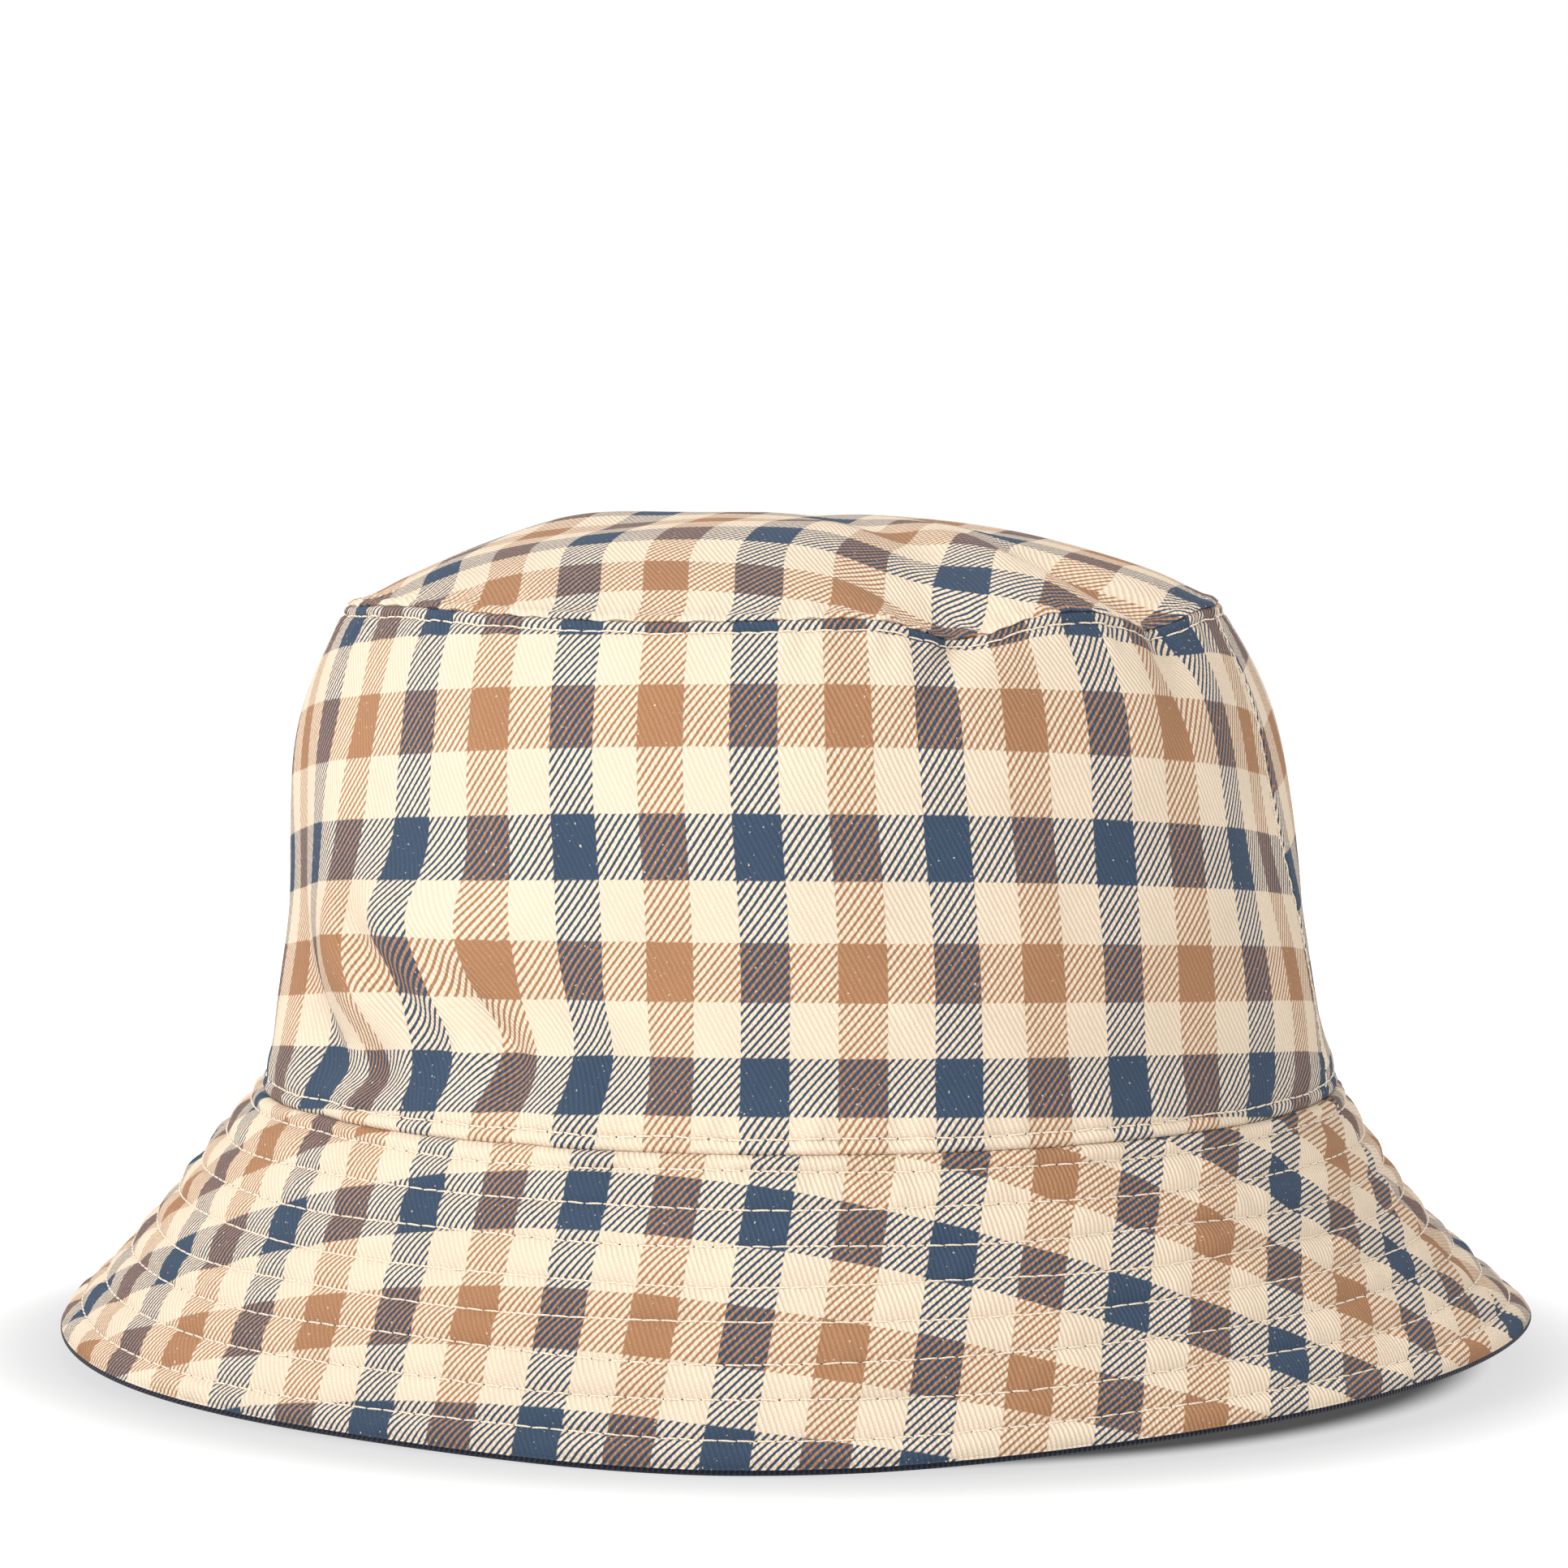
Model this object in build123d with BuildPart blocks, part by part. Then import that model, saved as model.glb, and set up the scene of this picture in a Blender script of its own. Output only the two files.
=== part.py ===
from build123d import *
import os
from math import asin, cos, hypot, pi, radians, sin

os.makedirs("parts", exist_ok=True)

# A reversible bucket hat standing on its brim edge. Front is -Y, wearer's left is +X,
# up is +Z, and the origin is on the axis in the plane of the brim's edge.

# Overall sizes
head_girth = 580.0  # inside, round the head opening
crown_height = 83.4  # crown seam down to the base fold, measured upright
tip_diameter = 151.6  # across the crown seam, outside
tip_rise = 15.8  # dome of the tip above the crown seam
side_fullness = 4.9  # the side swells this far out of a straight cone, at its shoulder
shoulder_place = 2.3  # power that sets how high the swelling lies
brim_drop = 46.0  # base fold above the brim's edge
brim_out_side = 34.2  # how far the brim flares at each side
brim_out_front = 20.8  # and at the front and back

# Cloth
shell_cloth = 0.7
interlining_cloth = 0.5
lining_cloth = 0.6
brim_cloth = 0.6
brim_stiffener = 0.6
ease = 0.1  # air between two plies
base_overhang = 0.2  # the base fold stands this far proud of the brim
edge_band = 1.4  # under-brim cloth rolled up round the brim's edge

# Thread
thread = 0.4
thread_lift = 0.06  # air between a thread and its cloth
brim_rows = 8
brim_first_row = 2.6  # base fold down to the first row, measured upright
brim_last_row = 5.0  # last row up from the brim's edge
base_row_lift = 2.3  # topstitch above the base fold
tip_row_drop = 2.0  # topstitch below the crown seam
side_row_offset = 2.2  # topstitch beside a side seam

# Care label, sewn into the base seam at the back
label_width = 26.0
label_length = 30.0
label_cloth = 0.4
label_corner = 1.5
label_gap = 1.2  # label's fold in from the lining, so that it swings freely

# Sizes that follow
crown_wall = shell_cloth + interlining_cloth + lining_cloth + 2 * ease
base_radius = head_girth / (2 * pi) + crown_wall
tip_radius = tip_diameter / 2
base_height = brim_drop
seam_height = base_height + crown_height
dome_radius = (tip_radius**2 + tip_rise**2) / (2 * tip_rise)
dome_center = seam_height + tip_rise - dome_radius
brim_top_radius = base_radius - base_overhang
brim_slant = hypot(brim_drop, (brim_out_side + brim_out_front) / 2) / brim_drop
brim_wall = 2 * brim_cloth + brim_stiffener + 2 * ease

# A half is revolved from one side seam to the other: the front starts at -X, the back at +X.
half_planes = {
    "front": Plane(origin=(0, 0, 0), x_dir=(-1, 0, 0), z_dir=(0, 1, 0)),
    "back": Plane.XZ,
}
kept_halves = {"front": Keep.TOP, "back": Keep.BOTTOM}


def finish(piece, name):
    """Label one sub-part and write it."""
    piece.part.label = name
    export_step(piece.part, f"parts/{name}.step")


def crown_radius(height):
    """Outer radius of the crown's side at a height."""
    share = (height - base_height) / crown_height
    swelling = side_fullness * sin(pi * share**shoulder_place)
    return base_radius + (tip_radius - base_radius) * share + swelling


def side_outline(depth):
    """Points of one face of the crown's side, from the base fold up to the crown seam."""
    shares = (0, 0.2, 0.4, 0.55, 0.7, 0.8, 0.87, 0.94, 1)
    levels = [base_height + share * crown_height for share in shares]
    return [(crown_radius(level) - depth, level) for level in levels]


def crown_side(half, depth, cloth):
    """Half of the crown's side wall: one ply, depth in from the outer face."""
    with BuildPart() as ply:
        with BuildSketch(half_planes[half]):
            with BuildLine():
                outer = Spline(*side_outline(depth))
                inner = Spline(*side_outline(depth + cloth))
                Line(outer @ 0, inner @ 0)
                Line(outer @ 1, inner @ 1)
            make_face()
        revolve(axis=Axis.Z, revolution_arc=180)
    return ply


def dome_point(depth, share):
    """A point of the dome's section, share 0 at the crown seam and 1 at the centre."""
    radius = dome_radius - depth
    rim = asin((tip_radius - depth) / radius)
    turn = rim * (1 - share)
    drop = seam_height - dome_center - radius * cos(rim)
    return (radius * sin(turn), dome_center + drop + radius * cos(turn))


def tip_disc(depth, cloth):
    """One domed ply of the crown's tip, its rim on the crown seam."""
    with BuildPart() as ply:
        with BuildSketch(Plane.XZ):
            with BuildLine():
                outer = ThreePointArc(*[dome_point(depth, share) for share in (0, 0.5, 1)])
                inner = ThreePointArc(*[dome_point(depth + cloth, share) for share in (0, 0.5, 1)])
                Line(outer @ 1, inner @ 1)
                Line(outer @ 0, inner @ 0)
            make_face()
        revolve(axis=Axis.Z)
    return ply


def brim_outline(height, depth):
    """Half-axes of the brim's section at a height, depth in from its upper face."""
    share = (base_height - height) / brim_drop
    inset = depth * brim_slant
    side = brim_top_radius + brim_out_side * share - inset
    front = brim_top_radius + brim_out_front * share - inset
    return side, front


def brim_section(height, depth):
    """The outline that one face of the brim has at a height."""
    side, front = brim_outline(height, depth)
    with BuildSketch(Plane.XY.offset(height)) as section:
        if side - front < 1e-6:
            Circle(side)
        else:
            Ellipse(side, front)
    return section.sketch


def brim_cone(low, high, depth, mode=Mode.ADD):
    """The solid cone inside one face of the brim, from a low to a high level."""
    loft([brim_section(low, depth), brim_section(high, depth)], ruled=True, mode=mode)


def brim_ring(low, high, depth, cloth):
    """A closed ring of cloth or thread that follows the brim."""
    with BuildPart() as ring:
        brim_cone(low, high, depth)
        brim_cone(low, high, depth + cloth, mode=Mode.SUBTRACT)
    return ring


def brim_half(half, low, depth, cloth):
    """Half of one ply of the brim, from its lower level up to the base fold."""
    with BuildPart() as ply:
        brim_cone(low, base_height, depth)
        brim_cone(low, base_height, depth + cloth, mode=Mode.SUBTRACT)
        split(bisect_by=Plane.XZ, keep=kept_halves[half])
    return ply


def under_brim_half(half):
    """Half of the under-brim, with the band that it turns up round the brim's edge."""
    depth = brim_wall - brim_cloth
    with BuildPart() as ply:
        brim_cone(0, base_height, depth)
        brim_cone(0, edge_band, 0)
        brim_cone(0, base_height, brim_wall, mode=Mode.SUBTRACT)
        split(bisect_by=Plane.XZ, keep=kept_halves[half])
    return ply


def crown_thread(height, depth):
    """A ring of thread on the crown's side at a height, its outer face depth in from the cloth's."""
    low, high = height - thread / 2, height + thread / 2
    with BuildPart() as ring:
        with BuildSketch(Plane.XZ):
            with BuildLine():
                Polyline(
                    (crown_radius(low) - depth, low),
                    (crown_radius(high) - depth, high),
                    (crown_radius(high) - depth - thread, high),
                    (crown_radius(low) - depth - thread, low),
                    close=True,
                )
            make_face()
        revolve(axis=Axis.Z)
    return ring


def side_thread(side):
    """The topstitch beside one side seam, from the crown seam to the base fold."""
    low = base_height + base_row_lift + thread
    high = seam_height - tip_row_drop - thread
    shares = (0, 0.2, 0.4, 0.6, 0.75, 0.85, 0.93, 1)
    levels = [low + share * (high - low) for share in shares]
    near = [(side * (crown_radius(level) + thread_lift), level) for level in levels]
    far = [(side * (crown_radius(level) + thread_lift + thread), level) for level in levels]
    with BuildPart() as line:
        with BuildSketch(Plane.XZ.offset(side_row_offset)):
            with BuildLine():
                inner = Spline(*near)
                outer = Spline(*far)
                Line(outer @ 0, inner @ 0)
                Line(outer @ 1, inner @ 1)
            make_face()
        extrude(amount=thread / 2, both=True)
    return line


def care_label():
    """The blank label, hanging from its fold in the base seam at the back."""
    lining_radius = base_radius - crown_wall
    corner_depth = lining_radius - (lining_radius**2 - (label_width / 2) ** 2) ** 0.5
    back = min(lining_radius, brim_top_radius - brim_wall * brim_slant)
    face = back - corner_depth - label_gap
    with BuildPart() as label:
        with BuildSketch(Plane.XZ.offset(-face)):
            with Locations((0, base_height - label_length / 2)):
                RectangleRounded(label_width, label_length, label_corner)
        extrude(amount=label_cloth)
    return label


# Crown
interlining_depth = shell_cloth + ease
lining_depth = interlining_depth + interlining_cloth + ease
finish(tip_disc(0, shell_cloth), "crown_tip")
finish(tip_disc(interlining_depth, interlining_cloth), "tip_interlining")
finish(tip_disc(lining_depth, lining_cloth), "lining_tip")
for half in half_planes:
    finish(crown_side(half, 0, shell_cloth), f"crown_side_{half}")
    finish(crown_side(half, interlining_depth, interlining_cloth), f"side_interlining_{half}")
    finish(crown_side(half, lining_depth, lining_cloth), f"lining_side_{half}")

# Brim
for half in half_planes:
    finish(brim_half(half, edge_band + ease, 0, brim_cloth), f"brim_top_{half}")
    stiffener = brim_half(half, edge_band + ease, brim_cloth + ease, brim_stiffener)
    finish(stiffener, f"brim_stiffener_{half}")
    finish(under_brim_half(half), f"under_brim_{half}")

# Stitching
row_step = (brim_drop - brim_first_row - brim_last_row) / (brim_rows - 1)
for row in range(brim_rows):
    level = base_height - brim_first_row - row * row_step
    low, high = level - thread / 2, level + thread / 2
    above = -(thread_lift + thread) / brim_slant
    needle_thread = brim_ring(low, high, above, thread / brim_slant)
    finish(needle_thread, f"brim_stitch_row_{row + 1}")
    bobbin_thread = brim_ring(low, high, brim_wall + thread_lift, thread / brim_slant)
    finish(bobbin_thread, f"brim_bobbin_row_{row + 1}")
finish(crown_thread(base_height + base_row_lift, -thread_lift - thread), "base_topstitch")
finish(crown_thread(base_height + base_row_lift, crown_wall + thread_lift), "base_bobbin_thread")
finish(crown_thread(seam_height - tip_row_drop, -thread_lift - thread), "tip_topstitch")
finish(side_thread(1), "side_topstitch_left")
finish(side_thread(-1), "side_topstitch_right")

# Label
finish(care_label(), "care_label")
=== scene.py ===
"""A reversible, row-stitched bucket hat in printed check twill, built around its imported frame.

The file is laid out as an add-on: sizes and colours in property groups, one operator for each
piece or group of like pieces, and a sidebar panel that lists them. Run as a script, it makes
the whole hat. Points are worked out in metres in the frame's own space.
"""

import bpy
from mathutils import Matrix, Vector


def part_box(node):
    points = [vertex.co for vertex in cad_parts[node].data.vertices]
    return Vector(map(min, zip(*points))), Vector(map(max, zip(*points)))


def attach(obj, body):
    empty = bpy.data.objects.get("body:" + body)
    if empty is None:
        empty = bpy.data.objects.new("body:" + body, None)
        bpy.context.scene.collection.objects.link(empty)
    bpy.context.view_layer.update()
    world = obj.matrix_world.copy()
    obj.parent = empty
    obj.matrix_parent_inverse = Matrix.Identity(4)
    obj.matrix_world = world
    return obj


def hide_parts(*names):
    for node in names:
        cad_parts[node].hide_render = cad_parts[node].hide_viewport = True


bl_info = {
    "name": "Bucket Hat",
    "version": (1, 0, 0),
    "blender": (4, 5, 0),
    "location": "3D View > Sidebar > Hat",
    "description": "Builds a row-stitched, reversible bucket hat in printed check twill",
    "category": "Add Mesh",
}

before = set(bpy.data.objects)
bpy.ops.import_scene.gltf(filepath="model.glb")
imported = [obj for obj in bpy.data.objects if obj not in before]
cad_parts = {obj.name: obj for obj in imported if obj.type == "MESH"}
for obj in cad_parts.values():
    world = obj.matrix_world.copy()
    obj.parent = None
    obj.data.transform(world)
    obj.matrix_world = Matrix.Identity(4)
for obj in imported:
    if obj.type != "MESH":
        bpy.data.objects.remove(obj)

import math

import bpy
import numpy as np
from bpy.props import FloatProperty, FloatVectorProperty, IntProperty, PointerProperty
from mathutils import Vector

MM = 0.001
UP = np.array([0.0, 0.0, 1.0])
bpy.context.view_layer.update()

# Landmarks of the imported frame
BASE_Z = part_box("crown_side_front")[0].z
SEAM_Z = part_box("crown_tip")[0].z
TOP_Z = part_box("crown_tip")[1].z
BASE_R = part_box("crown_side_front")[1].x
TIP_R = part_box("crown_tip")[1].x
EDGE_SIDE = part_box("under_brim_front")[1].x
EDGE_FRONT = -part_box("under_brim_front")[0].y
LABEL_LOW, LABEL_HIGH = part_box("care_label")
BRIM_ROWS = sum(name.startswith("brim_stitch_row_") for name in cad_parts)
BRIM_R = BASE_R - 0.2 * MM
DOME_R = (TIP_R**2 + (TOP_Z - SEAM_Z) ** 2) / (2 * (TOP_Z - SEAM_Z))
DOME_RIM = math.asin(TIP_R / DOME_R)


def middle_z(node):
    """Height of a thread's middle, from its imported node."""
    low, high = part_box(node)
    return (low.z + high.z) / 2


BASE_STITCH_Z = middle_z("base_topstitch")
TIP_STITCH_Z = middle_z("tip_topstitch")
ROW_LEVELS = [middle_z(f"brim_stitch_row_{row + 1}") for row in range(BRIM_ROWS)]


# ---------------------------------------------------------------- sizes and colours


class HatCloth(bpy.types.PropertyGroup):
    """Thickness of each ply and the set of the sewn shape."""

    shell: FloatProperty(
        name="Shell", description="Thickness of the check cloth", default=0.7 * MM, unit="LENGTH"
    )
    interlining: FloatProperty(
        name="Interlining", description="Thickness of the woven interlining", default=0.5 * MM, unit="LENGTH"
    )
    lining: FloatProperty(
        name="Lining", description="Thickness of the lining cloth", default=0.6 * MM, unit="LENGTH"
    )
    ease: FloatProperty(
        name="Ease", description="Air between two plies", default=0.1 * MM, unit="LENGTH"
    )
    padding: FloatProperty(
        name="Padding", description="Height of the cloth between two rows of stitching",
        default=0.8 * MM, unit="LENGTH"
    )
    lift: FloatProperty(
        name="Lift", description="How far the brim's edge rises at the sides", default=5.6 * MM, unit="LENGTH"
    )
    lean: FloatProperty(
        name="Lean", description="How far the soft crown has slid sideways at its base", default=2.6 * MM,
        unit="LENGTH"
    )


class HatCheck(bpy.types.PropertyGroup):
    """The printed check and its colours."""

    across: FloatProperty(
        name="Across", description="From a navy stripe to the next tan one", default=15.4 * MM, unit="LENGTH"
    )
    along: FloatProperty(
        name="Along", description="The same distance along the cloth", default=19.4 * MM, unit="LENGTH"
    )
    hatch: FloatProperty(name="Hatching", description="Share of a hatched block that is inked", default=0.43,
                         min=0, max=1, subtype="FACTOR")
    cream: FloatVectorProperty(name="Cream", description="Ground of the print", default=(0.71, 0.580, 0.440),
                               subtype="COLOR", min=0, max=1)
    tan: FloatVectorProperty(name="Tan", description="Lighter ink", default=(0.350, 0.178, 0.090),
                             subtype="COLOR", min=0, max=1)
    navy: FloatVectorProperty(name="Navy", description="Darker ink", default=(0.040, 0.064, 0.104),
                              subtype="COLOR", min=0, max=1)
    lining: FloatVectorProperty(name="Lining", description="Plain cloth under the brim and inside",
                                default=(0.004, 0.006, 0.014), subtype="COLOR", min=0, max=1)
    thread: FloatVectorProperty(name="Thread", description="Needle thread", default=(0.68, 0.57, 0.44),
                                subtype="COLOR", min=0, max=1)


class HatStitch(bpy.types.PropertyGroup):
    """The lockstitch."""

    pitch: FloatProperty(
        name="Pitch", description="From one needle hole to the next", default=3.0 * MM, unit="LENGTH"
    )
    width: FloatProperty(
        name="Width", description="Thickness of the sewing thread", default=0.32 * MM, unit="LENGTH"
    )
    seed: IntProperty(name="Seed", description="Sets the small unevenness of the stitches", default=7)


# ---------------------------------------------------------------- shape of the hat


def smooth(value, low, high):
    """0 below low, 1 above high and a smooth rise between."""
    share = np.clip((value - low) / (high - low), 0, 1)
    return share * share * (3 - 2 * share)


def bump(value, centre, width):
    """A rounded bump of height 1."""
    return np.exp(-(((value - centre) / width) ** 2))


def waves(theta, height, seed, around, climb, count=20):
    """Smooth ripples in whole waves round the hat, about 1 high; climb is in waves per metre."""
    draw = np.random.RandomState(seed)
    total = 0.0
    for _ in range(count):
        turns = draw.randint(around[0], around[1])
        rise = draw.uniform(-climb, climb) * 2 * math.pi
        total = total + np.cos(turns * theta + rise * height + draw.uniform(0, 2 * math.pi))
    return total / math.sqrt(count)


def outward(theta):
    """Level direction away from the axis; 0 is the front and a quarter turn is the wearer's left."""
    return np.stack([np.sin(theta), -np.cos(theta), np.zeros_like(theta)], -1)


SIDE_FULLNESS = 4.9 * MM  # the side swells this far out of a straight cone
SHOULDER_POWER = 2.3  # sets how high the swelling lies


def side_profile():
    """Heights, radii and lengths along the crown's side, from the base fold to the crown seam."""
    share = np.linspace(0, 1, 240)
    heights = BASE_Z + (SEAM_Z - BASE_Z) * share
    radii = BASE_R + (TIP_R - BASE_R) * share + SIDE_FULLNESS * np.sin(math.pi * share**SHOULDER_POWER)
    steps = np.hypot(np.diff(radii), np.diff(heights))
    return heights, radii, np.concatenate([[0], np.cumsum(steps)])


SIDE_HEIGHTS, SIDE_RADII, SIDE_RUN = side_profile()
SIDE_SLOPES = np.gradient(SIDE_RADII, SIDE_HEIGHTS)
SIDE_LENGTH = SIDE_RUN[-1]
BASE_STITCH_RUN = float(np.interp(BASE_STITCH_Z, SIDE_HEIGHTS, SIDE_RUN))
TIP_STITCH_RUN = float(np.interp(TIP_STITCH_Z, SIDE_HEIGHTS, SIDE_RUN))


def side_point(theta, run, depth):
    """A point of the crown's side, depth in from the outer face."""
    height = np.interp(run, SIDE_RUN, SIDE_HEIGHTS)
    radius = np.interp(run, SIDE_RUN, SIDE_RADII)
    slope = np.interp(run, SIDE_RUN, SIDE_SLOPES)[..., None]
    away = (outward(theta) - slope * UP) / np.sqrt(1 + slope**2)
    return outward(theta) * radius[..., None] + height[..., None] * UP - away * depth[..., None]


def tip_point(theta, share, depth):
    """A point of the domed tip; share is 0 at the centre and 1 on the crown seam."""
    tilt = share * DOME_RIM
    away = outward(theta) * np.sin(tilt)[..., None] + np.cos(tilt)[..., None] * UP
    centre = (TOP_Z - DOME_R) * UP
    return centre + away * (DOME_R - depth)[..., None]


def brim_point(theta, share, depth):
    """A point of the brim; share is 0 at the base fold and 1 at the edge."""
    side_out, front_out = EDGE_SIDE - BRIM_R, EDGE_FRONT - BRIM_R
    side = BRIM_R + side_out * share
    front = BRIM_R + front_out * share
    sine, cosine = np.sin(theta), np.cos(theta)
    place = np.stack([side * sine, -front * cosine, BASE_Z * (1 - share)], -1)
    down = np.stack([side_out * sine, -front_out * cosine, np.full_like(theta, -BASE_Z)], -1)
    along = np.stack([side * cosine, front * sine, np.zeros_like(theta)], -1)
    away = np.cross(down, along)
    away /= np.linalg.norm(away, axis=-1, keepdims=True)
    return place - away * depth[..., None]


def brim_slant(theta):
    """Length of the brim's slope at an angle round the hat."""
    out = (EDGE_FRONT - BRIM_R) + (EDGE_SIDE - EDGE_FRONT) * np.sin(theta) ** 2
    return np.hypot(out, BASE_Z)


# Soft hollows pressed into the crown's side: angle, height, their widths, and depth
SIDE_HOLLOWS = (
    (-0.52, 0.071, 0.11, 0.0075, 4.2 * MM),
    (-0.30, 0.059, 0.10, 0.0065, 3.4 * MM),
    (-0.82, 0.060, 0.12, 0.0085, 3.2 * MM),
    (-0.66, 0.090, 0.13, 0.0120, -1.2 * MM),
    (-0.12, 0.064, 0.14, 0.0070, 1.8 * MM),
    (-1.30, 0.062, 0.20, 0.0140, 1.6 * MM),
    (0.64, 0.127, 0.10, 0.0070, 2.6 * MM),
    (1.22, 0.126, 0.11, 0.0080, 3.0 * MM),
    (1.45, 0.090, 0.14, 0.0160, 1.2 * MM),
    (2.45, 0.072, 0.20, 0.0120, 2.2 * MM),
    (-2.35, 0.110, 0.24, 0.0120, 2.4 * MM),
    (3.05, 0.098, 0.22, 0.0160, 1.6 * MM),
    (-1.65, 0.085, 0.18, 0.0140, 1.8 * MM),
)
# Places where the side's cloth has been dragged round the hat: angle, height, widths, and amount
SIDE_PULLS = (
    (-0.80, 0.080, 0.25, 0.016, -4.0 * MM),
    (-0.60, 0.073, 0.20, 0.014, -11.0 * MM),
    (-0.66, 0.055, 0.14, 0.007, 8.0 * MM),
    (-0.28, 0.060, 0.22, 0.008, 4.5 * MM),
    (-0.42, 0.080, 0.16, 0.008, -4.0 * MM),
    (1.05, 0.112, 0.20, 0.0120, 1.6 * MM),
    (1.35, 0.062, 0.28, 0.0200, 4.0 * MM),
    (2.40, 0.070, 0.22, 0.0100, -2.4 * MM),
    (-2.30, 0.104, 0.22, 0.0120, 2.0 * MM),
)
# Creases of the tip: middle, direction, half length, half width and depth
TIP_CREASES = (
    ((0.034, -0.030), -0.95, 0.034, 0.0065, 2.6 * MM),
    ((0.040, -0.058), -0.30, 0.012, 0.0060, 2.0 * MM),
    ((-0.020, 0.036), 0.50, 0.034, 0.0120, 1.6 * MM),
    ((-0.050, -0.014), 1.30, 0.024, 0.0110, 1.0 * MM),
)


def settle(points):
    """How soft cloth has sunk and shifted: moves every ply and thread alike, so that they stay nested."""
    look = bpy.context.scene.hat_cloth
    moved = points.copy()
    x, y, z = points[..., 0], points[..., 1], points[..., 2]
    theta, radius = np.arctan2(x, -y), np.hypot(x, y)
    crown = smooth(z, BASE_Z, SEAM_Z)
    below = np.clip((BASE_Z - z) / BASE_Z, 0, 1)

    rise = smooth(z, BASE_Z, BASE_Z + 8 * MM) * smooth(SEAM_Z - z, -2 * MM, 6 * MM)
    inward = np.zeros_like(z)
    for angle, height, wide, tall, depth in SIDE_HOLLOWS:
        apart = np.arctan2(np.sin(theta - angle), np.cos(theta - angle))
        slanted = z - height - 0.012 * apart / max(wide, 0.1) * np.sign(angle + 0.1)
        inward += depth * bump(apart, 0, wide) * bump(slanted, 0, tall)
    along = np.stack([np.cos(theta), np.sin(theta), np.zeros_like(theta)], -1)
    for angle, height, wide, tall, drag in SIDE_PULLS:
        apart = np.arctan2(np.sin(theta - angle), np.cos(theta - angle))
        moved += along * (drag * rise * bump(apart, 0, wide) * bump(z, height, tall))[..., None]
    body = smooth(z, BASE_Z + 2 * MM, BASE_Z + 16 * MM)
    rim = smooth(radius, 0.4 * TIP_R, 0.9 * TIP_R)
    inward += body * rim * 0.75 * MM * waves(theta, z, 11, (2, 9), 14)
    inward += body * rim * 0.22 * MM * waves(theta, z, 12, (10, 26), 30)
    inward *= rim
    moved -= outward(theta) * inward[..., None]

    sag = np.zeros_like(z)
    top = smooth(z, SEAM_Z - 14 * MM, SEAM_Z + 2 * MM)
    for (cx, cy), heading, long_, wide, depth in TIP_CREASES:
        ahead = (x - cx) * math.cos(heading) + (y - cy) * math.sin(heading)
        beside = (y - cy) * math.cos(heading) - (x - cx) * math.sin(heading)
        sag += depth * bump(ahead, 0, long_) * (bump(beside, 0, wide) - 0.35 * bump(beside, 2.2 * wide, wide))
    sag += 2.6 * MM * bump(theta, 0.64, 0.13) * rim + 3.2 * MM * bump(theta, 1.22, 0.12) * rim
    sag += 0.7 * MM * waves(theta, radius, 21, (1, 6), 18) * smooth(radius, 0, 0.5 * TIP_R)
    moved[..., 2] -= top * sag

    shift = look.lean * (1 - 0.88 * smooth(crown, 0.2, 0.95) - 0.75 * below)
    shift = shift - 4.0 * MM * smooth(z, SEAM_Z + 1 * MM, SEAM_Z + 9 * MM)
    moved[..., 0] += shift * math.cos(CAMERA_TURN)
    moved[..., 1] += shift * math.sin(CAMERA_TURN)

    dome = smooth(z, SEAM_Z, SEAM_Z + 4 * MM) * bump(radius, 0.66 * TIP_R, 0.3 * TIP_R)
    moved[..., 2] += 2.0 * MM * dome
    knot = bump(z, SEAM_Z, 3.2 * MM) * bump(np.abs(np.sin(theta)), 1, 0.0016) * rim
    moved += outward(theta) * (0.9 * MM * knot)[..., None]

    edge = below**1.5
    swell = 0.5 + 0.5 * np.clip(waves(theta, 0 * z, 31, (3, 9), 1) / 1.6, -1, 1)
    sideways = np.sin(theta - CAMERA_TURN)
    moved[..., 2] += below**2 * look.lift * np.sin(theta) ** 2 * (1 + 0.25 * sideways)
    moved[..., 2] += edge * 0.45 * MM * swell
    flare = below**5 * 2.4 * MM * sideways**2 - 1.8 * MM * bump(below, 0.45, 0.35) * np.clip(sideways, 0, 1)
    moved += outward(theta) * (flare + edge * 0.8 * MM * waves(theta, 0 * z, 32, (2, 8), 1))[..., None]
    return moved


# ---------------------------------------------------------------- flat pattern of each panel


CAMERA_TURN = math.radians(16)

# Cone of the flat pattern, grain angle, turn of the cut, where the check starts on it, and its
# ease across and along the grain
SIDE_CUT = {
    "front": (0.10, math.radians(-4.5), math.radians(-1.7), 28.0 * MM, 9.0 * MM, 0.99, 0.99),
    "back": (0.10, math.radians(4.0), math.radians(1.0), 9.5 * MM, 8.0 * MM, 0.99, 0.99),
}
BRIM_CUT = {
    "front": (0.59, math.radians(1.5), math.radians(2.0), -9.0 * MM, -8.5 * MM, 1.06, 1.02),
    "back": (0.59, math.radians(-2.0), math.radians(-1.5), 4.0 * MM, -15.0 * MM, 1.06, 1.02),
}


def flat_pattern(theta, run, cut, down=False):
    """Where a point of a panel lies on the cloth before it is sewn; the check starts at the origin."""
    cone, grain, turned, shift_x, shift_y, ease_x, ease_y = cut
    reach = BASE_R / cone
    spread = cone * (theta - grain)
    distance = reach + run if down else reach - run
    across = distance * np.sin(spread)
    along = reach - distance * np.cos(spread)
    x = across * math.cos(turned) - along * math.sin(turned) - shift_x
    y = across * math.sin(turned) + along * math.cos(turned) - shift_y
    return np.stack([x * ease_x, y * ease_y], -1)


# ---------------------------------------------------------------- meshes


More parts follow.
